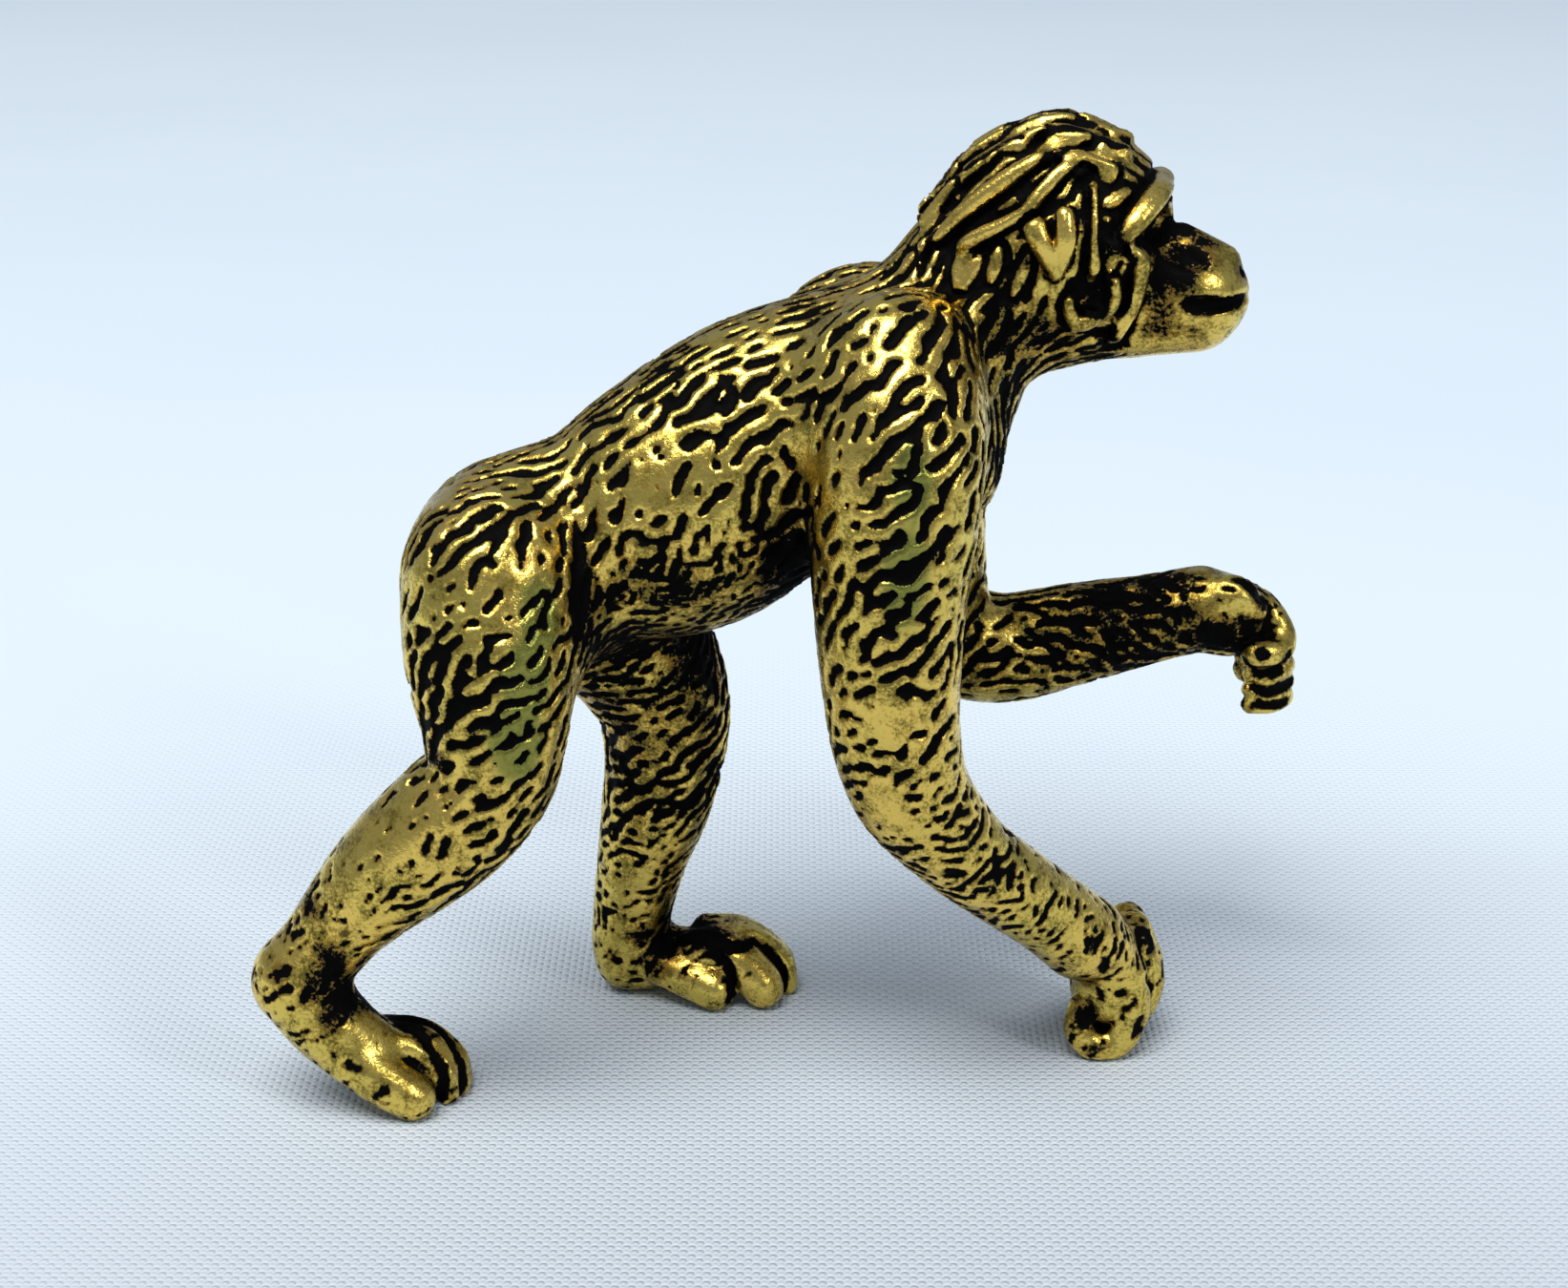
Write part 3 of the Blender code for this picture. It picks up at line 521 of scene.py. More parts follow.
# The coat. Each anchor says how the hair lies near it: place, direction forward and up, stroke
# length, width and depth, and cover, from 0 for bare metal to 1.
COAT = (
    (-12.0, 0.0, 32.5, -0.9, -0.42, 1.3, 0.44, 0.22, 0.85),  # rump
    (-17.0, -3.5, 26.5, -0.5, -0.86, 1.3, 0.5, 0.24, 0.82),
    (-14.0, -6.0, 30.0, -0.6, -0.8, 1.2, 0.54, 0.25, 0.68),
    (-17.0, 3.5, 26.5, -0.5, -0.86, 1.3, 0.5, 0.24, 0.85),
    (-8.0, 0.0, 34.6, -0.88, -0.46, 2.0, 0.38, 0.18, 0.88),  # spine
    (-2.0, 0.0, 37.6, -0.84, -0.54, 2.3, 0.36, 0.18, 0.88),
    (4.0, 0.0, 41.0, -0.84, -0.54, 2.3, 0.38, 0.2, 0.88),
    *both_sides(-8.2, 4.9, 32.4, -0.6, -0.8, 1.1, 0.58, 0.26, 0.76),  # flanks
    (-5.3, -5.7, 33.2, -0.6, -0.8, 1.1, 0.6, 0.26, 0.56),
    (-5.3, 5.7, 33.2, -0.6, -0.8, 1.1, 0.6, 0.26, 0.64),
    (-1.4, -5.9, 35.4, -0.66, -0.75, 1.2, 0.62, 0.26, 0.54),
    (3.0, -6.8, 38.0, -0.66, -0.75, 1.2, 0.6, 0.26, 0.54),
    (-1.4, 5.9, 35.4, -0.66, -0.75, 1.2, 0.62, 0.26, 0.64),
    (0.6, -6.5, 32.6, -0.55, -0.83, 1.0, 0.58, 0.26, 0.7),
    (0.6, 6.5, 32.6, -0.55, -0.83, 1.0, 0.58, 0.26, 0.78),
    *both_sides(-9.8, 6.0, 28.8, -0.45, -0.89, 1.2, 0.44, 0.24, 0.95),
    *both_sides(-7.0, 5.2, 27.2, -0.7, -0.71, 0.6, 0.27, 0.11, 0.85),
    *both_sides(-3.0, 5.8, 28.0, -0.7, -0.71, 0.6, 0.27, 0.11, 0.85),
    (-4.0, 0.0, 23.8, -0.9, -0.42, 1.0, 0.32, 0.12, 0.8),  # belly
    (3.0, 0.0, 27.4, -0.8, -0.6, 1.0, 0.32, 0.12, 0.8),
    (10.5, 0.0, 32.5, -0.35, -0.94, 1.2, 0.42, 0.18, 0.9),  # chest
    (12.5, -1.0, 36.5, -0.25, -0.97, 1.3, 0.44, 0.2, 0.9),
    (6.0, -7.5, 40.0, -0.62, -0.78, 1.2, 0.6, 0.27, 0.6),  # right shoulder and arm
    (5.0, -11.0, 34.0, -0.76, -0.65, 1.1, 0.6, 0.28, 0.74),
    (5.0, -12.0, 28.5, -0.85, -0.53, 1.1, 0.56, 0.27, 0.84),
    (5.4, -11.5, 22.5, -0.88, -0.48, 1.1, 0.52, 0.24, 0.82),
    (6.6, -10.5, 17.5, -0.92, -0.38, 0.8, 0.38, 0.16, 0.76),
    (9.3, -9.0, 13.8, -0.85, -0.52, 0.7, 0.32, 0.14, 0.74),
    (13.0, -7.5, 10.2, -0.7, -0.71, 0.8, 0.33, 0.14, 0.72),
    (16.6, -5.5, 7.4, -0.6, -0.8, 0.7, 0.3, 0.13, 0.6),
    (18.0, -4.0, 3.5, -0.5, -0.86, 0.6, 0.3, 0.12, 0.42),
    (6.0, 7.5, 40.0, -0.62, -0.78, 1.2, 0.6, 0.27, 0.82),  # left shoulder and arm
    (9.5, 10.0, 32.0, -0.76, -0.65, 1.1, 0.56, 0.27, 0.86),
    (10.5, 11.0, 24.0, -0.85, -0.53, 1.1, 0.5, 0.24, 0.86),
    (13.0, 10.0, 18.5, -0.8, -0.6, 1.1, 0.46, 0.22, 0.92),
    (18.9, 8.4, 19.4, -0.88, 0.47, 1.2, 0.42, 0.22, 0.96),
    (23.5, 8.0, 20.3, -0.8, 0.6, 1.1, 0.4, 0.2, 0.96),
    (26.5, 7.4, 20.6, -0.7, 0.71, 0.8, 0.34, 0.14, 0.55),
    (29.5, 6.8, 18.5, -0.7, -0.71, 0.6, 0.26, 0.1, 0.2),
    (-13.5, -8.0, 26.5, -0.75, -0.66, 1.3, 0.52, 0.25, 0.82),  # right leg
    (-14.0, -8.5, 22.0, -0.86, -0.5, 1.2, 0.5, 0.25, 0.92),
    (-17.5, -6.5, 22.5, -0.6, -0.8, 1.2, 0.46, 0.24, 0.95),
    (-14.2, -8.5, 18.5, -0.92, -0.38, 1.2, 0.46, 0.22, 0.8),
    (-17.0, -8.0, 15.2, -0.88, -0.48, 1.0, 0.42, 0.18, 0.56),
    (-20.0, -7.0, 12.2, -0.8, -0.6, 0.9, 0.36, 0.15, 0.52),
    (-23.0, -6.0, 9.0, -0.7, -0.71, 0.9, 0.34, 0.14, 0.58),
    (-24.0, -4.5, 6.0, -0.7, -0.71, 0.7, 0.3, 0.12, 0.35),
    (-20.0, -4.5, 3.0, -0.7, -0.71, 0.7, 0.3, 0.12, 0.2),
    (-8.0, 5.5, 24.0, -0.74, -0.67, 1.3, 0.5, 0.25, 0.9),  # left leg
    (-5.0, 6.0, 18.5, -0.86, -0.5, 1.2, 0.46, 0.23, 0.92),
    (-4.9, 6.0, 13.5, -0.86, -0.5, 1.1, 0.44, 0.22, 0.86),
    (-5.6, 6.4, 9.0, -0.9, -0.44, 0.9, 0.36, 0.16, 0.76),
    (-6.4, 6.8, 5.2, -0.9, -0.44, 0.8, 0.32, 0.14, 0.5),
    (-4.0, 6.4, 1.5, -0.9, -0.44, 0.7, 0.3, 0.1, 0.25),
    (0.5, 4.5, 2.0, -0.9, -0.44, 0.7, 0.3, 0.1, 0.2),
)

# The same for the left of the head, in its own frame, with directions forward, left and up.
HEAD_COAT = (
    (3.4, 1.5, 4.4, -0.98, 0.1, 0.2, 2.6, 0.42, 0.18, 0.74),  # hairline
    (0.0, 1.5, 5.4, -1.0, 0.0, -0.1, 2.8, 0.42, 0.18, 0.74),  # crown
    (-4.0, 1.5, 4.0, -0.72, 0.0, -0.7, 2.8, 0.44, 0.2, 0.76),
    (-6.0, 1.5, 0.0, -0.4, 0.0, -0.92, 3.0, 0.46, 0.26, 0.92),  # nape
    (0.0, 4.4, 3.2, -0.9, 0.0, -0.44, 3.0, 0.44, 0.26, 0.92),
    (-3.0, 4.2, 1.0, -0.66, 0.0, -0.75, 2.4, 0.44, 0.28, 0.88),  # behind the ear
    (-3.0, 4.2, -3.0, -0.6, 0.0, -0.8, 1.8, 0.42, 0.26, 0.98),
    (2.6, 4.7, 1.6, -0.3, 0.0, -0.95, 1.8, 0.34, 0.2, 0.9),  # temple
    (2.2, 4.6, -1.6, -0.35, 0.0, -0.94, 2.0, 0.34, 0.18, 0.9),
    (1.0, 4.2, -5.0, -0.7, 0.0, -0.7, 1.6, 0.34, 0.16, 0.9),  # throat
    (3.0, 0.0, -6.6, -0.95, 0.0, -0.3, 1.4, 0.3, 0.12, 0.7),
    (0.4, 5.6, 0.2, -0.3, 0.0, -0.95, 0.6, 0.26, 0.1, 0.0),  # ear
    (5.6, 0.0, 2.2, -1.0, 0.0, 0.0, 0.8, 0.26, 0.1, 0.0),  # brow and face
    (5.4, 2.8, 1.0, -0.4, 0.0, -0.9, 0.8, 0.26, 0.1, 0.0),
    (5.0, 3.2, -2.0, -0.4, 0.0, -0.9, 0.8, 0.26, 0.1, 0.0),
    (7.5, 0.0, -1.0, -0.4, 0.0, -0.9, 0.8, 0.26, 0.1, 0.0),
    (8.0, 1.5, -3.5, -0.4, 0.0, -0.9, 0.8, 0.26, 0.1, 0.0),
    (7.0, 0.0, -5.5, -0.4, 0.0, -0.9, 0.8, 0.26, 0.1, 0.0),
)


# Locks and folds of the head that stand clear of the coat: stations, width of the groove round them
# and its depth. Where the depth is 0 the coat is only kept off.
RELIEF = (
    (
        ((1.8, 2.2, 5.0, 0.33), (0.2, 2.6, 4.8, 0.43), (-1.2, 3.8, 4.2, 0.65), (-2.8, 4.1, 2.8, 0.72),
         (-4.2, 4.1, 1.4, 0.58), (-5.2, 4.1, 0.2, 0.33)),
        0.21, 0.34,
    ),
    (
        ((1.5, 3.4, 4.4, 0.38), (0.7, 4.3, 3.8, 0.45), (0.0, 4.8, 2.9, 0.5), (-0.8, 5.2, 2.1, 0.53)),
        0.21, 0.34,
    ),
    (
        ((-1.2, 5.1, 1.8, 0.43), (-2.2, 5.0, 1.3, 0.53), (-3.4, 5.0, 0.4, 0.55),
         (-4.1, 4.7, -0.8, 0.38), (-4.2, 5.0, -2.0, 0.25)),
        0.2, 0.34,
    ),
    (
        ((1.0, 0.8, 5.9, 0.28), (-0.8, 1.3, 5.6, 0.43), (-2.6, 1.6, 4.8, 0.47), (-4.2, 1.8, 3.6, 0.3)),
        0.12, 0.2,
    ),
    (((2.4, 1.2, 4.9, 0.28), (1.2, 1.4, 5.4, 0.38), (0.2, 1.8, 5.5, 0.28)), 0.12, 0.18),
    (((-4.8, 2.4, 2.6, 0.3), (-5.6, 2.4, 1.2, 0.43), (-6.2, 2.4, -0.6, 0.3)), 0.12, 0.2),
    (((-2.2, 4.9, -0.1, 0.28), (-2.3, 5.0, -0.8, 0.38), (-2.5, 5.1, -1.6, 0.25)), 0.19, 0.34),
    (((-3.2, 4.8, -0.6, 0.28), (-3.5, 5.0, -1.2, 0.35), (-3.8, 5.1, -2.0, 0.22)), 0.17, 0.34),
    (((-0.7, 5.2, -0.3, 0.22), (-1.0, 5.2, -1.4, 0.33), (-1.4, 5.2, -2.4, 0.2)), 0.17, 0.32),
    (
        ((1.1, 3.9, 4.2, 0.35), (1.7, 3.5, 4.5, 0.45), (2.6, 3.4, 4.0, 0.4), (3.0, 3.3, 3.5, 0.53)),
        0.16, 0.34,
    ),
    (
        ((2.4, 4.0, 3.2, 0.25), (2.5, 4.7, 2.0, 0.25), (2.4, 5.0, 0.6, 0.28), (2.5, 5.0, -0.4, 0.4),
         (2.4, 4.6, -1.5, 0.3)),
        0.21, 0.34,
    ),
    (((3.0, 4.0, 2.1, 0.3), (3.6, 3.6, 2.4, 0.38), (4.0, 3.2, 2.6, 0.28)), 0.17, 0.34),
    (
        ((3.7, 4.4, -1.8, 0.45), (3.8, 4.2, -2.7, 0.53), (3.2, 3.6, -3.8, 0.58),
         (2.1, 4.5, -3.9, 0.58), (1.4, 4.8, -3.2, 0.45), (1.4, 5.0, -2.4, 0.3)),
        0.19, 0.34,
    ),
    (
        ((4.4, 4.0, 0.0, 0.38), (5.0, 3.7, -0.5, 0.65), (4.8, 3.8, -1.6, 0.55), (4.6, 3.5, -2.9, 0.55),
         (4.2, 3.3, -4.0, 0.5), (3.6, 2.6, -5.2, 0.35)),
        0.19, 0.34,
    ),
    (((1.3, 5.6, 2.0, 0.5), (1.3, 5.8, 0.6, 0.6), (0.9, 5.5, -1.1, 0.5)), 0.0, 0.0),
    (
        ((0.8, 5.6, 1.9, 0.6), (0.0, 5.9, 1.0, 0.85),
         (0.4, 5.8, 0.0, 0.75), (0.8, 5.5, -1.0, 0.5)),
        0.0, 0.0,
    ),
    (
        ((5.8, 0.0, 2.7, 0.6), (5.8, 1.6, 2.9, 0.7), (5.3, 3.1, 2.5, 0.83), (4.7, 3.9, 1.7, 0.85),
         (4.1, 4.5, 0.9, 0.65)),
        0.21, 0.34,
    ),
)

# Gaps between the toes and fingers, and folds: stations and depth
CREASES = (
    (
        ((-20.5, -4.4, 4.9, 0.2), (-19.0, -4.6, 4.1, 0.26), (-17.9, -5.4, 3.1, 0.28),
         (-17.4, -5.8, 1.7, 0.26), (-17.8, -5.5, 0.3, 0.2)),
        0.5,
    ),
    (
        ((-19.4, -3.7, 4.5, 0.18), (-17.8, -3.7, 3.8, 0.24), (-16.8, -4.5, 2.7, 0.24),
         (-16.4, -4.8, 1.5, 0.24), (-16.6, -5.0, 0.3, 0.2)),
        0.5,
    ),
    (((-22.3, -6.8, 3.5, 0.2), (-21.8, -7.0, 3.2, 0.18)), 0.2),
    (((-20.6, -7.3, 2.3, 0.12), (-20.2, -7.4, 1.9, 0.12)), 0.2),
    (
        ((-2.4, 3.7, 3.6, 0.18), (-1.6, 3.2, 2.8, 0.28),
         (-1.4, 3.0, 1.7, 0.3), (-1.4, 2.9, 0.5, 0.26)),
        0.5,
    ),
    (
        ((-0.4, 4.2, 3.6, 0.16), (0.6, 4.4, 3.2, 0.22),
         (1.5, 4.3, 1.8, 0.24), (1.6, 4.2, 0.5, 0.2)),
        0.45,
    ),
    (
        ((-4.4, 4.4, 4.0, 0.2), (-2.9, 4.3, 4.0, 0.26),
         (-1.4, 3.6, 3.7, 0.28), (-0.4, 3.7, 3.5, 0.2)),
        0.35,
    ),
    (
        ((27.7, 5.1, 18.2, 0.24), (28.6, 5.2, 17.6, 0.28), (29.7, 5.4, 17.9, 0.28),
         (30.3, 5.3, 18.7, 0.2)),
        0.4,
    ),
    (
        ((28.2, 5.2, 16.9, 0.22), (28.8, 5.1, 16.5, 0.28), (29.8, 5.3, 16.6, 0.28),
         (30.7, 6.0, 16.8, 0.24)),
        0.4,
    ),
    (((28.4, 5.3, 15.8, 0.2), (29.0, 5.1, 15.7, 0.22), (30.4, 5.6, 15.7, 0.2)), 0.3),
    (((28.3, 4.7, 19.0, 0.25), (28.5, 4.7, 19.0, 0.25)), 0.3),
    (
        ((26.9, 5.6, 23.6, 0.2), (27.4, 5.7, 23.0, 0.32), (28.2, 5.4, 22.4, 0.38),
         (29.2, 6.4, 21.3, 0.32), (29.1, 6.1, 20.2, 0.32)),
        0.3,
    ),
    (((18.95, -6.0, 3.35, 0.2), (18.5, -6.0, 3.2, 0.2)), 0.25),
    (((18.5, -5.9, 4.3, 0.18), (18.1, -5.9, 4.1, 0.18)), 0.2),
    (((17.2, -6.8, 6.6, 0.2), (17.0, -6.8, 6.1, 0.22)), 0.25),
    (((19.5, -5.8, 2.6, 0.2), (19.4, -5.9, 1.9, 0.25), (19.2, -5.9, 1.5, 0.16)), 0.3),
    (((19.7, -4.2, 7.3, 0.2), (20.1, -4.0, 6.8, 0.3), (20.4, -4.2, 6.1, 0.28)), 0.25),
    (((20.3, -4.6, 3.7, 0.2), (19.9, -5.2, 4.6, 0.24)), 0.25),
    (((-9.8, -4.9, 31.4, 0.16), (-9.8, -6.1, 28.8, 0.34), (-10.0, -6.6, 25.9, 0.34)), 0.25),
    (((-9.8, 4.9, 31.4, 0.16), (-9.8, 6.1, 28.8, 0.34), (-9.6, 6.6, 26.4, 0.34)), 0.25),
)

# Where the polishing mop never reached, so the patina stayed: place, radii and strength
UNPOLISHED = (
    (-21.0, -4.2, 5.9, 1.2, 1.2, 0.9, 1.0),  # right foot and ankle
    (-19.0, -3.6, 4.6, 1.3, 1.0, 0.8, 1.0),
    (-22.8, -6.4, 8.9, 0.9, 1.2, 1.7, 1.0),
    (-22.3, -5.6, 6.8, 1.0, 1.3, 1.1, 1.1),
    (-23.8, -6.4, 7.6, 0.6, 1.0, 0.9, 0.8),
    (-23.0, -6.6, 5.9, 0.5, 1.0, 1.0, 0.9),
    (-23.6, -5.6, 11.8, 0.7, 1.2, 0.5, 0.8),
    (-25.5, -6.0, 8.5, 0.4, 0.8, 0.5, 0.6),
    (-17.2, -7.4, 20.1, 1.0, 0.8, 0.5, 0.9),  # behind the right knee
    (-18.5, -6.0, 20.6, 1.0, 1.5, 0.6, 0.7),
    (-5.0, 4.6, 3.2, 0.8, 1.0, 0.8, 1.0),  # left foot and ankle
    (-6.2, 4.8, 4.1, 0.8, 1.0, 0.8, 0.8),
    (-5.6, 4.2, 2.1, 0.5, 0.8, 0.4, 0.7),
    (-2.9, 4.3, 4.1, 1.6, 1.2, 0.6, 1.0),
    (-1.0, 3.8, 3.7, 1.0, 0.9, 0.4, 0.8),
    (-7.8, 5.2, 2.7, 0.5, 0.6, 0.4, 0.6),
    (-5.0, 3.2, 21.0, 4.0, 2.4, 6.0, 0.62),  # inside of the left thigh
    (-5.0, 4.0, 15.0, 2.5, 2.0, 4.0, 0.3),
    (9.0, 4.5, 20.0, 5.0, 3.0, 5.0, 0.6),  # inside of the left elbow
    (20.5, 6.5, 20.5, 5.5, 3.5, 4.0, 0.54),  # left forearm
    (24.6, 5.6, 20.6, 1.8, 1.3, 1.8, 0.55),
    (25.6, 5.4, 20.0, 1.3, 1.0, 1.3, 1.0),
    (20.2, 6.5, 22.2, 2.5, 2.0, 0.9, 0.9),
    (23.0, 6.7, 22.8, 2.2, 2.0, 0.9, 0.9),
    (26.2, 5.4, 19.8, 1.3, 1.0, 1.2, 1.1),  # left palm
    (27.9, 5.3, 20.2, 0.8, 0.6, 0.9, 1.0),
    (28.4, 5.3, 22.0, 0.5, 0.6, 0.7, 0.9),
    (16.7, -5.2, 2.6, 0.7, 0.6, 0.8, 1.2),  # right hand
    (20.2, -4.0, 6.3, 0.5, 0.6, 0.8, 0.8),
    (17.0, -5.8, 0.9, 0.8, 0.5, 0.3, 0.7),
    *both_sides(-5.2, 5.8, 27.4, 4.0, 1.5, 2.0, 0.44),  # lower flanks
    *both_sides(0.6, 6.4, 29.6, 2.4, 1.5, 1.6, 0.62),
    *both_sides(-9.6, 6.2, 27.5, 0.9, 1.5, 3.5, 0.6),
    (9.6, -1.0, 35.5, 4.0, 4.5, 4.5, 0.5),  # throat and chest
    *both_sides(2.0, 5.8, 29.0, 3.0, 2.5, 3.0, 0.5),  # armpits
    (-8.5, 0.0, 23.5, 4.5, 6.0, 2.5, 0.6),  # groin
    (-1.0, 0.0, 25.5, 6.0, 4.5, 2.5, 0.3),  # belly
)

# Small places on the head that were polished although they lie low
HEAD_POLISHED = (
    (0.8, 5.8, 0.8, 0.7, 1.0, 0.9, 0.9),  # inside of the ear
    (5.3, 1.85, 0.7, 0.45, 0.45, 0.32, 0.9),  # eye
)

# Where an olive tint is painted on the brass as a painted reflection of green surroundings: place,
# radii and strength
OLIVE_REFLECTION = (
    (-11.9, -8.0, 27.5, 1.2, 2.0, 2.2, 0.9),  # right thigh
    (-12.6, -8.9, 24.5, 1.3, 2.0, 2.2, 1.1),
    (-13.2, -9.2, 21.5, 1.5, 2.0, 2.4, 1.0),
    (5.6, -11.3, 34.5, 1.2, 2.0, 2.5, 0.8),  # right arm
    (5.3, -11.8, 30.0, 1.3, 2.0, 3.0, 0.9),
    (-4.0, 5.0, 20.0, 1.5, 2.0, 2.0, 0.5),  # left thigh
)
HEAD_UNPOLISHED = (
    (5.6, 2.2, 0.3, 1.4, 1.3, 1.2, 1.1),  # eye
    (6.3, 2.6, -1.2, 1.1, 1.2, 1.5, 1.2),  # hollow between the nose and the cheek
    (5.8, 3.2, -3.2, 0.9, 1.0, 1.6, 0.9),  # fold behind the mouth
    (5.7, 2.6, -4.3, 0.9, 1.0, 0.8, 0.8),
    (7.2, 2.4, -4.6, 1.2, 0.8, 0.5, 0.4),  # side of the chin
    (7.2, 1.7, -0.8, 1.1, 0.9, 0.8, 1.2),  # above the muzzle
    (6.6, 0.4, 0.5, 1.0, 1.4, 0.7, 1.1),
    (7.8, 1.1, -0.2, 0.9, 0.8, 0.45, 1.1),
    (8.2, 2.3, -3.15, 1.3, 0.9, 0.28, 1.2),  # mouth
    (3.3, 4.4, 0.6, 0.6, 1.0, 1.0, 0.7),  # before the ear
    (1.9, 4.2, 3.7, 0.5, 0.8, 0.5, 0.9),  # the pit over the temple
    (-1.0, 5.0, -0.2, 0.6, 1.0, 0.8, 0.6),  # behind the ear
    (2.4, 4.6, -2.6, 0.8, 1.0, 0.8, 0.9),  # inside the jowl
    (-1.5, 3.6, -4.5, 3.4, 2.4, 2.2, 0.6),  # under the jaw and neck
    (9.2, 0.0, -1.9, 0.8, 1.0, 0.5, 0.8),  # nostrils
)


class Coat:
    """How the hair lies at any place on the skin, blended from the anchors near it."""

    def __init__(self):
        rows = [(*row[:4], 0.0, *row[4:]) for row in COAT]
        for row in HEAD_COAT:
            for side in (-1, 1):
                lie = HEAD_FACING @ np.array(on_side(row[3:6], side))
                rows.append((*on_head(row, side), *lie, *row[6:]))
        rows = np.array(rows)
        self.places = rows[:, :3]
        self.looks = rows[:, 3:]

    def at(self, points):
        away = ((points[:, None, :] - self.places[None]) ** 2).sum(axis=2)
        share = 1.0 / (away + ANCHOR_SOFTNESS) ** 2
        return (share / share.sum(axis=1, keepdims=True)) @ self.looks


def sampled(clay, field, points):
    """The block's distances at many points, read between the grid points."""
    place = (points - clay.low) / clay.cell
    corner = np.clip(place.astype(int), 0, np.array(field.shape) - 2)
    part = np.clip(place - corner, 0.0, 1.0)
    total = np.zeros(len(points))
    for step in np.ndindex(2, 2, 2):
        share = np.abs(1 - np.array(step) - part).prod(axis=1)
        total += share * field[tuple((corner + step).T)]
    return total


def unit(ways):
    return ways / np.maximum(np.linalg.norm(ways, axis=1, keepdims=True), 1e-6)


def outward(clay, field, points):
    """The way straight out of the skin at each point."""
    slope = np.empty((len(points), 3))
    for i, way in enumerate(np.eye(3) * clay.cell):
        slope[:, i] = sampled(clay, field, points + way) - sampled(clay, field, points - way)
    return unit(slope)


def smooth(share):
    return share * share * (3.0 - 2.0 * share)


def cloud(clay, grain, chance):
    """Soft random values all through the block, with lumps of the given size."""
    counts = [int(np.ceil((axis[-1] - axis[0]) / grain)) + 2 for axis in clay.axes]
    values = chance.normal(0.0, 1.0, counts).astype(np.float32)
    for i, axis in enumerate(clay.axes):
        place = (axis - axis[0]) / grain
        first = place.astype(int)
        part = smooth(place - first)
        part = part.reshape([-1 if k == i else 1 for k in range(3)])
        values = np.take(values, first, i) * (1.0 - part) + np.take(values, first + 1, i) * part
    return values


def comb_coat(clay, skin_points, chance):
    """Sinks the grooves into the block; returns the block as it was and the grooves' depths.

    Each tuft is a short ripple along the lie of the hair. Thousands of them overlap at random, and
    their sum is shaped into ridges and grooves that fork and break off as carved fur does.
    """
    base = clay.field.copy()
    coat = Coat()
    seeds = skin_points[chance.integers(0, len(skin_points), TUFT_COUNT)]
    looks = coat.at(seeds)
    up = outward(clay, base, seeds)
    lie = looks[:, :3]
    lie = unit(lie - (lie * up).sum(axis=1, keepdims=True) * up)
    swing = (chance.normal(0.0, TUFT_SWING, len(seeds)) / looks[:, 3])[:, None]
    lie = unit(lie + np.cross(up, lie) * swing)
    ways = np.stack((lie, np.cross(up, lie), up), axis=1).astype(np.float32)
    phase = chance.uniform(0.0, 2.0 * np.pi, len(seeds))
    ripple, energy, weight, deep, thick = (np.zeros_like(clay.field) for _ in range(5))
    for i, seed in enumerate(seeds):
        length, width, depth, cover = looks[i, 3:]
        spread = (length * TUFT_FADE, width)
        reach = TUFT_REACH * max(spread)
        cuts = []
        for axis, middle in zip(clay.axes, seed):
            first = int((middle - reach - axis[0]) / clay.cell)
            last = int((middle + reach - axis[0]) / clay.cell) + 2
            cuts.append(slice(max(first, 0), max(last, 0)))
        x, y, z = (axis[cut] - middle for axis, cut, middle in zip(clay.axes, cuts, seed))
        x, y, z = x[:, None, None], y[None, :, None], z[None, None, :]
        cuts = tuple(cuts)
        along, aside, rise = (x * way[0] + y * way[1] + z * way[2] for way in ways[i])
        fade = (along / spread[0]) ** 2 + (aside / spread[1]) ** 2 + (rise / spread[1]) ** 2
        fade = np.exp(fade * np.float32(-0.5))
        ripple[cuts] += fade * np.cos(aside * np.float32(np.pi / width) + np.float32(phase[i]))
        energy[cuts] += fade * fade
        weight[cuts] += fade
        deep[cuts] += fade * np.float32(depth * min(1.0, 2.0 * cover))
        thick[cuts] += fade * np.float32(cover)
    ripple /= np.sqrt(energy + LEAST_WEIGHT)
    deep /= weight + LEAST_WEIGHT
    thick /= weight + LEAST_WEIGHT
    ripple += sum(cloud(clay, grain, chance) * RAGGED_SHARE for grain in RAGGED_GRAINS)
    sunk = smooth(np.clip((ripple - GROOVE_BARE + GROOVE_COVER * thick) / GROOVE_EDGE, 0.0, 1.0))
    relief = []
    for form, moat, depth, width in head_relief(clay):
        cuts, away = clay.window(form, MOAT_REACH)
        if depth:
            away = np.sqrt(np.maximum((away + width) ** 2 - base[cuts] ** 2, 0.0)) - width
        relief.append((moat, depth, cuts, away))
    for moat, depth, cuts, away in relief:
        ring = (1.0 - np.clip((away - moat) / MOAT_EDGE, 0.0, 1.0)) * (depth > 0.0)
        sunk[cuts] = np.maximum(sunk[cuts], ring)
        deep[cuts] = deep[cuts] * (1.0 - ring) + depth * ring
    for _, _, cuts, away in relief:
        sunk[cuts] *= np.clip(away / MOAT_EDGE + 0.5, 0.0, 1.0)
    for stations, depth in CREASES:
        laid = [(*clay.settle(station[:3], 0.0), station[3]) for station in stations]
        cuts, away = clay.window(Limb(laid), MOAT_REACH)
        fold = np.clip(0.5 - away / CREASE_EDGE, 0.0, 1.0)
        sunk[cuts] = np.maximum(sunk[cuts], fold)
        deep[cuts] = deep[cuts] * (1.0 - fold) + depth * fold
    clay.field = base + sunk * deep
    return base, deep


def head_relief(clay):
    """The locks and folds of the head that stand clear of the coat, with the groove round each."""
    for side in (-1, 1):
        for stations, moat, depth in RELIEF:
            laid = [(*clay.settle(on_head(station, side), 0.0), station[3]) for station in stations]
            yield Limb(laid), moat, depth, float(np.mean([station[3] for station in stations]))


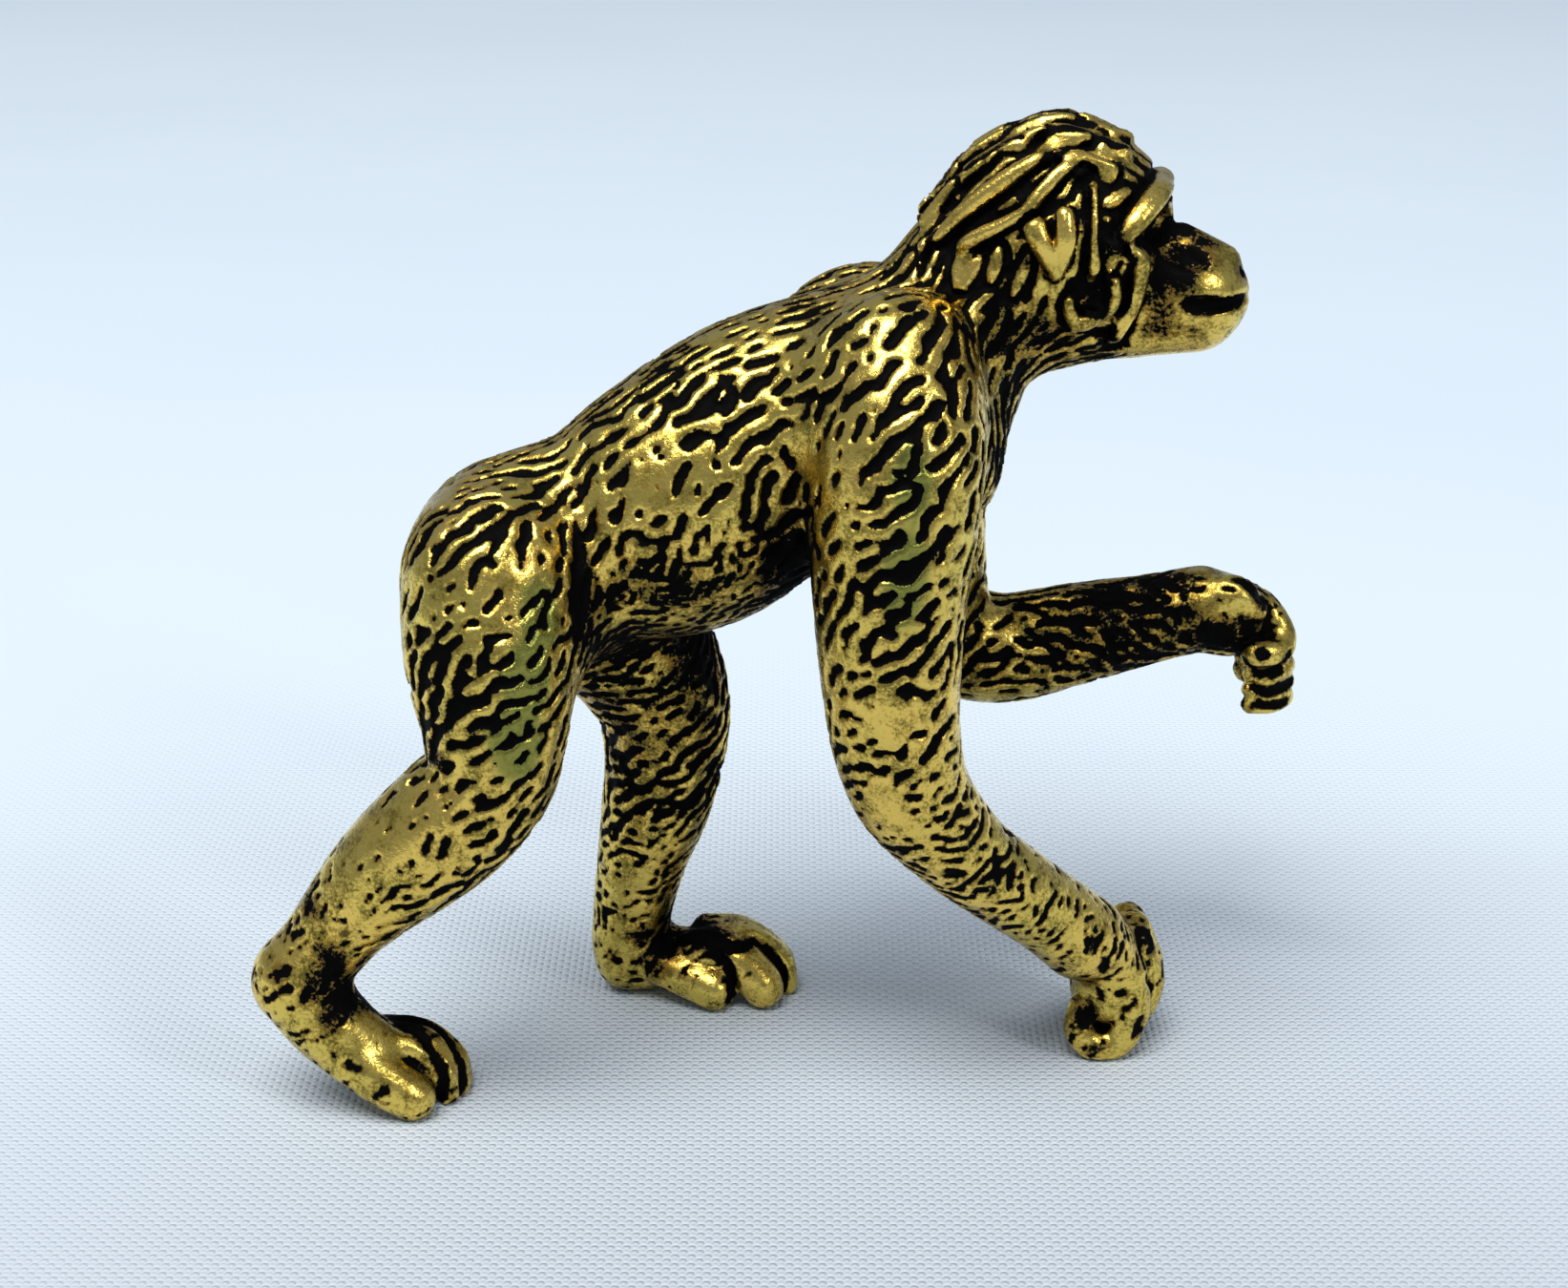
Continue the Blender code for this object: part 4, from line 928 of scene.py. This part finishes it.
def skin_of(clay):
    """Points in sculpture millimetres and the four-sided faces of the skin."""
    grid = openvdb.FloatGrid(FAR)
    grid.copyFromArray(clay.field.astype(np.float32))
    places, quads = grid.convertToQuads(0.0)
    return places.astype(float) * clay.cell + clay.low, quads[:, ::-1]


def whole_skin(places, quads):
    """The largest connected shell, as a mesh in the row frame."""
    mesh = bpy.data.meshes.new("chimpanzee_skin")
    mesh.from_pydata(places.tolist(), [], quads.tolist())
    model = bmesh.new()
    model.from_mesh(mesh)
    unseen = set(model.verts)
    shells = []
    while unseen:
        reached = [unseen.pop()]
        for vert in reached:
            near = {edge.other_vert(vert) for edge in vert.link_edges} & unseen
            unseen -= near
            reached.extend(near)
        shells.append(reached)
    shells.sort(key=len)
    for crumb in shells[:-1]:
        bmesh.ops.delete(model, geom=crumb, context="VERTS")
    if model.calc_volume(signed=True) < 0.0:
        bmesh.ops.reverse_faces(model, faces=model.faces)
    model.to_mesh(mesh)
    model.free()
    return mesh


def inside(clay, field, points):
    place = np.round((points - clay.low) / clay.cell).astype(int)
    place = np.clip(place, 0, np.array(field.shape) - 1)
    return field[place[:, 0], place[:, 1], place[:, 2]] < 0.0


def shelter(clay, field, points):
    """The share of the sky above each point that other parts of the body hide, 0 to 1."""
    up = outward(clay, field, points)
    side = unit(np.cross(up, np.array((0.31, 0.17, 0.93))))
    ahead = np.cross(up, side)
    hidden = np.zeros(len(points))
    total = 0.0
    for lean in np.radians(SIGHT_LEANS):
        for bearing in np.linspace(0.0, 2.0 * np.pi, SIGHT_WAYS, endpoint=False) + lean:
            level = side * np.cos(bearing) + ahead * np.sin(bearing)
            way = up * np.cos(lean) + level * np.sin(lean)
            met = np.zeros(len(points), bool)
            for far in SIGHT_STEPS:
                met |= inside(clay, field, points + way * far)
            hidden += met * np.cos(lean)
            total += np.cos(lean)
    return hidden / total


def spotted(points, body_spots, head_spots=()):
    """How far each point lies in the soft spots listed, 0 to about 1."""
    spots = [(np.array(row[:3]), np.eye(3), row[3:6], row[6]) for row in body_spots]
    for row in head_spots:
        spots += [(on_head(row, side), HEAD_FACING, row[3:6], row[6]) for side in (-1, 1)]
    strongest = np.zeros(len(points))
    for place, axes, radii, strength in spots:
        off = ((points - place) @ axes / np.array(radii)) ** 2
        strongest = np.maximum(strongest, strength * np.exp(-off.sum(axis=1)))
    return strongest


def placed(name, data):
    made = bpy.data.objects.new(name, data)
    bpy.context.scene.collection.objects.link(made)
    return made


def set_point_value(mesh, name, values):
    attribute = mesh.attributes.new(name, "FLOAT", "POINT")
    attribute.data.foreach_set("value", values.astype(np.float32))


def sculpt():
    chance = np.random.default_rng(RANDOM_SEED)
    clay = Clay(BLOCK_LOW, BLOCK_HIGH, FINE_CELL)
    shape_trunk(clay)
    shape_legs(clay)
    shape_right_arm(clay)
    shape_left_arm(clay)
    shape_head(clay)
    clay.field = np.maximum(clay.field, -clay.axes[2][None, None, :])
    smooth_skin, _ = skin_of(clay)
    base, deep = comb_coat(clay, smooth_skin, chance)
    clay.field = np.maximum(clay.field, -clay.axes[2][None, None, :])
    places, quads = skin_of(clay)
    mesh = whole_skin(places, quads)
    low, high = (np.array(corner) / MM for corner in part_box(NODE))
    middle = (smooth_skin.min(axis=0) + smooth_skin.max(axis=0)) / 2.0
    shift = np.array(((low + high)[0] / 2.0 - middle[0], (low + high)[1] / 2.0 - middle[1], 0.0))
    piece = placed("chimpanzee", mesh)
    thin = piece.modifiers.new("Fewer faces", "DECIMATE")
    thin.ratio = min(1.0, FINE_FACES / (2.0 * len(mesh.polygons)))
    fine = bpy.data.meshes.new_from_object(piece.evaluated_get(bpy.context.evaluated_depsgraph_get()))
    piece.modifiers.clear()
    piece.data = fine
    points = np.empty(len(fine.vertices) * 3, np.float32)
    fine.vertices.foreach_get("co", points)
    points = points.reshape(-1, 3).astype(float)
    depth = np.maximum(sampled(clay, deep, points), LEAST_GROOVE)
    set_point_value(fine, "groove", -sampled(clay, base, points) / depth)
    up = outward(clay, clay.field, points)
    clear = sampled(clay, clay.field, points + up * WALL_REACH) / WALL_REACH
    set_point_value(fine, "near_wall", np.clip(1.0 - clear, 0.0, 1.0))
    set_point_value(fine, "shelter", shelter(clay, base, points))
    dark = spotted(points, UNPOLISHED, HEAD_UNPOLISHED) - spotted(points, (), HEAD_POLISHED)
    set_point_value(fine, "unpolished", dark)
    # Olive tint painted as a reflection of green surroundings
    set_point_value(fine, "olive_reflection", spotted(points, OLIVE_REFLECTION))
    moved = np.clip(points + shift, low, high) * MM
    fine.vertices.foreach_set("co", moved.astype(np.float32).ravel())
    fine.update()
    fine.shade_smooth()
    return piece, shift


# Materials


class Paint:
    """Short forms for joining shader nodes."""

    def __init__(self, name):
        self.material = bpy.data.materials.new(name)
        self.material.use_nodes = True
        self.tree = self.material.node_tree
        self.shader = self.tree.nodes["Principled BSDF"]

    def node(self, kind, inputs=None, **settings):
        made = self.tree.nodes.new(kind)
        for key, value in settings.items():
            setattr(made, key, value)
        for key, value in (inputs or {}).items():
            if isinstance(value, bpy.types.NodeSocket):
                self.tree.links.new(value, made.inputs[key])
            else:
                made.inputs[key].default_value = value
        return made

    def attribute(self, name):
        return self.node("ShaderNodeAttribute", attribute_name=name).outputs["Fac"]

    def noise(self, scale, detail=2.0, roughness=0.5, vector=None):
        inputs = {"Scale": scale, "Detail": detail, "Roughness": roughness}
        inputs["Vector"] = vector or self.place()
        return self.node("ShaderNodeTexNoise", inputs).outputs["Fac"]

    def place(self):
        return self.node("ShaderNodeTexCoord").outputs["Object"]

    def ramp(self, value, low, high, start=0.0, end=1.0):
        inputs = {"Value": value, "From Min": low, "From Max": high, "To Min": start, "To Max": end}
        made = self.node("ShaderNodeMapRange", inputs, interpolation_type="SMOOTHSTEP")
        return made.outputs["Result"]

    def math(self, operation, first, second=0.0, third=0.0):
        inputs = {0: first, 1: second, 2: third}
        return self.node("ShaderNodeMath", inputs, operation=operation).outputs["Value"]

    def mix(self, factor, first, second):
        made = self.node("ShaderNodeMix", {"Factor": factor}, data_type="RGBA")
        for place, value in ((6, first), (7, second)):
            if isinstance(value, bpy.types.NodeSocket):
                self.tree.links.new(value, made.inputs[place])
            else:
                made.inputs[place].default_value = (*value, 1.0)
        return made.outputs[2]

    def join(self, name, value):
        self.tree.links.new(value, self.shader.inputs[name])


GOLDS = ((0.86, 0.6, 0.13), (0.76, 0.57, 0.12))
TARNISHES = ((0.3, 0.17, 0.025), (0.2, 0.15, 0.025))
# Tint of the painted olive reflection
OLIVE_REFLECTION_TINT = (0.2, 0.22, 0.045)
PATINA = (0.0012, 0.0011, 0.001)
CLOTHS = ((0.58, 0.665, 0.735), (0.62, 0.705, 0.775))
# Colour of the painted shade laid on the cloth towards the front
PAINTED_SHADE_CLOTH = (0.45, 0.495, 0.545)


def antiqued_brass():
    paint = Paint("antiqued_brass")
    groove = paint.attribute("groove")
    near_wall = paint.attribute("near_wall")
    sheltered = paint.attribute("shelter")
    missed = paint.attribute("unpolished")
    patchy = paint.noise(900.0, 3.0, 0.6)
    sandy = paint.noise(5200.0, 3.0, 0.7)
    cloudy = paint.noise(160.0, 2.0, 0.5)
    # 0 on the polished high spots, 1 and more in the deep places
    dirt = paint.ramp(groove, 0.05, 0.7)
    dirt = paint.math("MAXIMUM", dirt, paint.ramp(near_wall, 0.15, 0.6))
    dirt = paint.math("ADD", dirt, paint.ramp(sheltered, 0.12, 0.6, 0.0, 0.6))
    dirt = paint.math("ADD", dirt, missed)
    dirt = paint.math("ADD", dirt, paint.ramp(patchy, 0.3, 0.7, -0.18, 0.24))
    dirt = paint.math("ADD", dirt, paint.ramp(sandy, 0.3, 0.7, -0.2, 0.22))
    patina = paint.ramp(dirt, 0.4, 0.62)
    tarnish = paint.ramp(dirt, -0.1, 0.42)
    gold = paint.mix(paint.ramp(cloudy, 0.35, 0.65), *GOLDS)
    dull = paint.mix(paint.ramp(patchy, 0.35, 0.65), *TARNISHES)
    metal = paint.mix(tarnish, gold, dull)
    # Painted reflection: an olive tint mixed into the brass where the olive spots lie
    olive_reflection = paint.ramp(paint.attribute("olive_reflection"), 0.2, 0.6, 0.0, 0.85)
    metal = paint.mix(olive_reflection, metal, OLIVE_REFLECTION_TINT)
    paint.join("Base Color", paint.mix(patina, metal, PATINA))
    paint.join("Metallic", paint.ramp(patina, 0.2, 0.9, 1.0, 0.0))
    paint.join("Specular IOR Level", paint.ramp(patina, 0.5, 1.0, 0.5, 0.03))
    rough = paint.math("MULTIPLY_ADD", tarnish, 0.16, paint.ramp(sandy, 0.3, 0.7, 0.15, 0.28))
    paint.join("Roughness", paint.math("MULTIPLY_ADD", patina, 0.25, rough))
    grain = paint.noise(4200.0, 3.0, 0.65)
    bump = paint.node("ShaderNodeBump", {"Height": grain, "Strength": 0.6, "Distance": 0.00005})
    paint.join("Normal", bump.outputs["Normal"])
    return paint.material


def woven_cloth():
    paint = Paint("white_cloth")
    place = paint.place()
    turn_by = (0.0, 0.0, np.radians(YARN_TURN))
    turned = paint.node("ShaderNodeMapping", {"Vector": place, "Rotation": turn_by})
    split = paint.node("ShaderNodeSeparateXYZ", {"Vector": turned.outputs["Vector"]})
    warp, weft = (paint.math("MULTIPLY", split.outputs[i], np.pi / YARN) for i in (0, 1))
    over = paint.math("MULTIPLY", paint.math("SINE", warp), paint.math("SINE", weft))
    rows, lines = (paint.math("ABSOLUTE", paint.math("SINE", way)) for way in (warp, weft))
    height = paint.math("ADD", paint.math("MULTIPLY", over, 0.4), paint.math("MULTIPLY", rows, lines))
    away = paint.node("ShaderNodeVectorMath", {0: place}, operation="LENGTH").outputs["Value"]
    near = paint.ramp(away, 0.015, 0.09, 0.9, 0.0)
    bump = paint.node("ShaderNodeBump", {"Height": height, "Strength": near, "Distance": 0.00013})
    paint.join("Normal", bump.outputs["Normal"])
    # Painted shade: the cloth is mixed towards a darker colour towards the front, the -Y side
    depth = paint.node("ShaderNodeSeparateXYZ", {"Vector": place}).outputs["Y"]
    painted_front_shade = paint.ramp(depth, -0.06, 0.05, 1.0, 0.0)
    shade = paint.mix(paint.noise(14.0, 2.0), *CLOTHS)
    paint.join("Base Color", paint.mix(painted_front_shade, shade, PAINTED_SHADE_CLOTH))
    paint.shader.inputs["Roughness"].default_value = 0.85
    return paint.material


def floor():
    model = bmesh.new()
    bmesh.ops.create_grid(model, x_segments=8, y_segments=8, size=FLOOR_REACH)
    mesh = bpy.data.meshes.new("cloth")
    model.to_mesh(mesh)
    model.free()
    mesh.materials.append(woven_cloth())
    return placed("cloth", mesh)


def lamp(name, place, aim, size, power, colour=(1.0, 1.0, 1.0)):
    light = bpy.data.lights.new(name, "AREA")
    light.shape = "RECTANGLE"
    light.size, light.size_y = size
    light.energy = power
    light.color = colour
    made = placed(name, light)
    made.location = place
    made.rotation_euler = (Vector(aim) - Vector(place)).to_track_quat("-Z", "Y").to_euler()


def light_room():
    world = bpy.data.worlds.new("room")
    bpy.context.scene.world = world
    world.use_nodes = True
    background = world.node_tree.nodes["Background"]
    background.inputs["Color"].default_value = (0.7, 0.8, 1.0, 1.0)
    background.inputs["Strength"].default_value = 0.38
    lamp("window", (-0.3, -0.35, 1.15), (0.12, 0.1, 0.0), (0.9, 0.7), 19.5, (1.0, 0.98, 0.94))
    lamp("side", (0.6, -0.7, 0.6), (0.0, 0.0, 0.02), (0.15, 0.35), 2.5)


def camera(shift):
    view = bpy.data.cameras.new("camera")
    view.sensor_width = 36.0
    view.lens = CAMERA_LENS
    view.clip_start = 0.005
    view.clip_end = 10.0
    made = placed("camera", view)
    made.location = (np.array(CAMERA_PLACE) + shift) * MM
    made.rotation_euler = (np.radians(90.0 - CAMERA_DROP), 0.0, np.radians(CAMERA_TURN))
    bpy.context.scene.camera = made


def main():
    piece, shift = sculpt()
    piece.data.materials.append(antiqued_brass())
    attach(piece, "root")
    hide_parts(NODE)
    floor()
    light_room()
    camera(shift)
    bpy.context.scene.view_settings.view_transform = "Standard"


main()
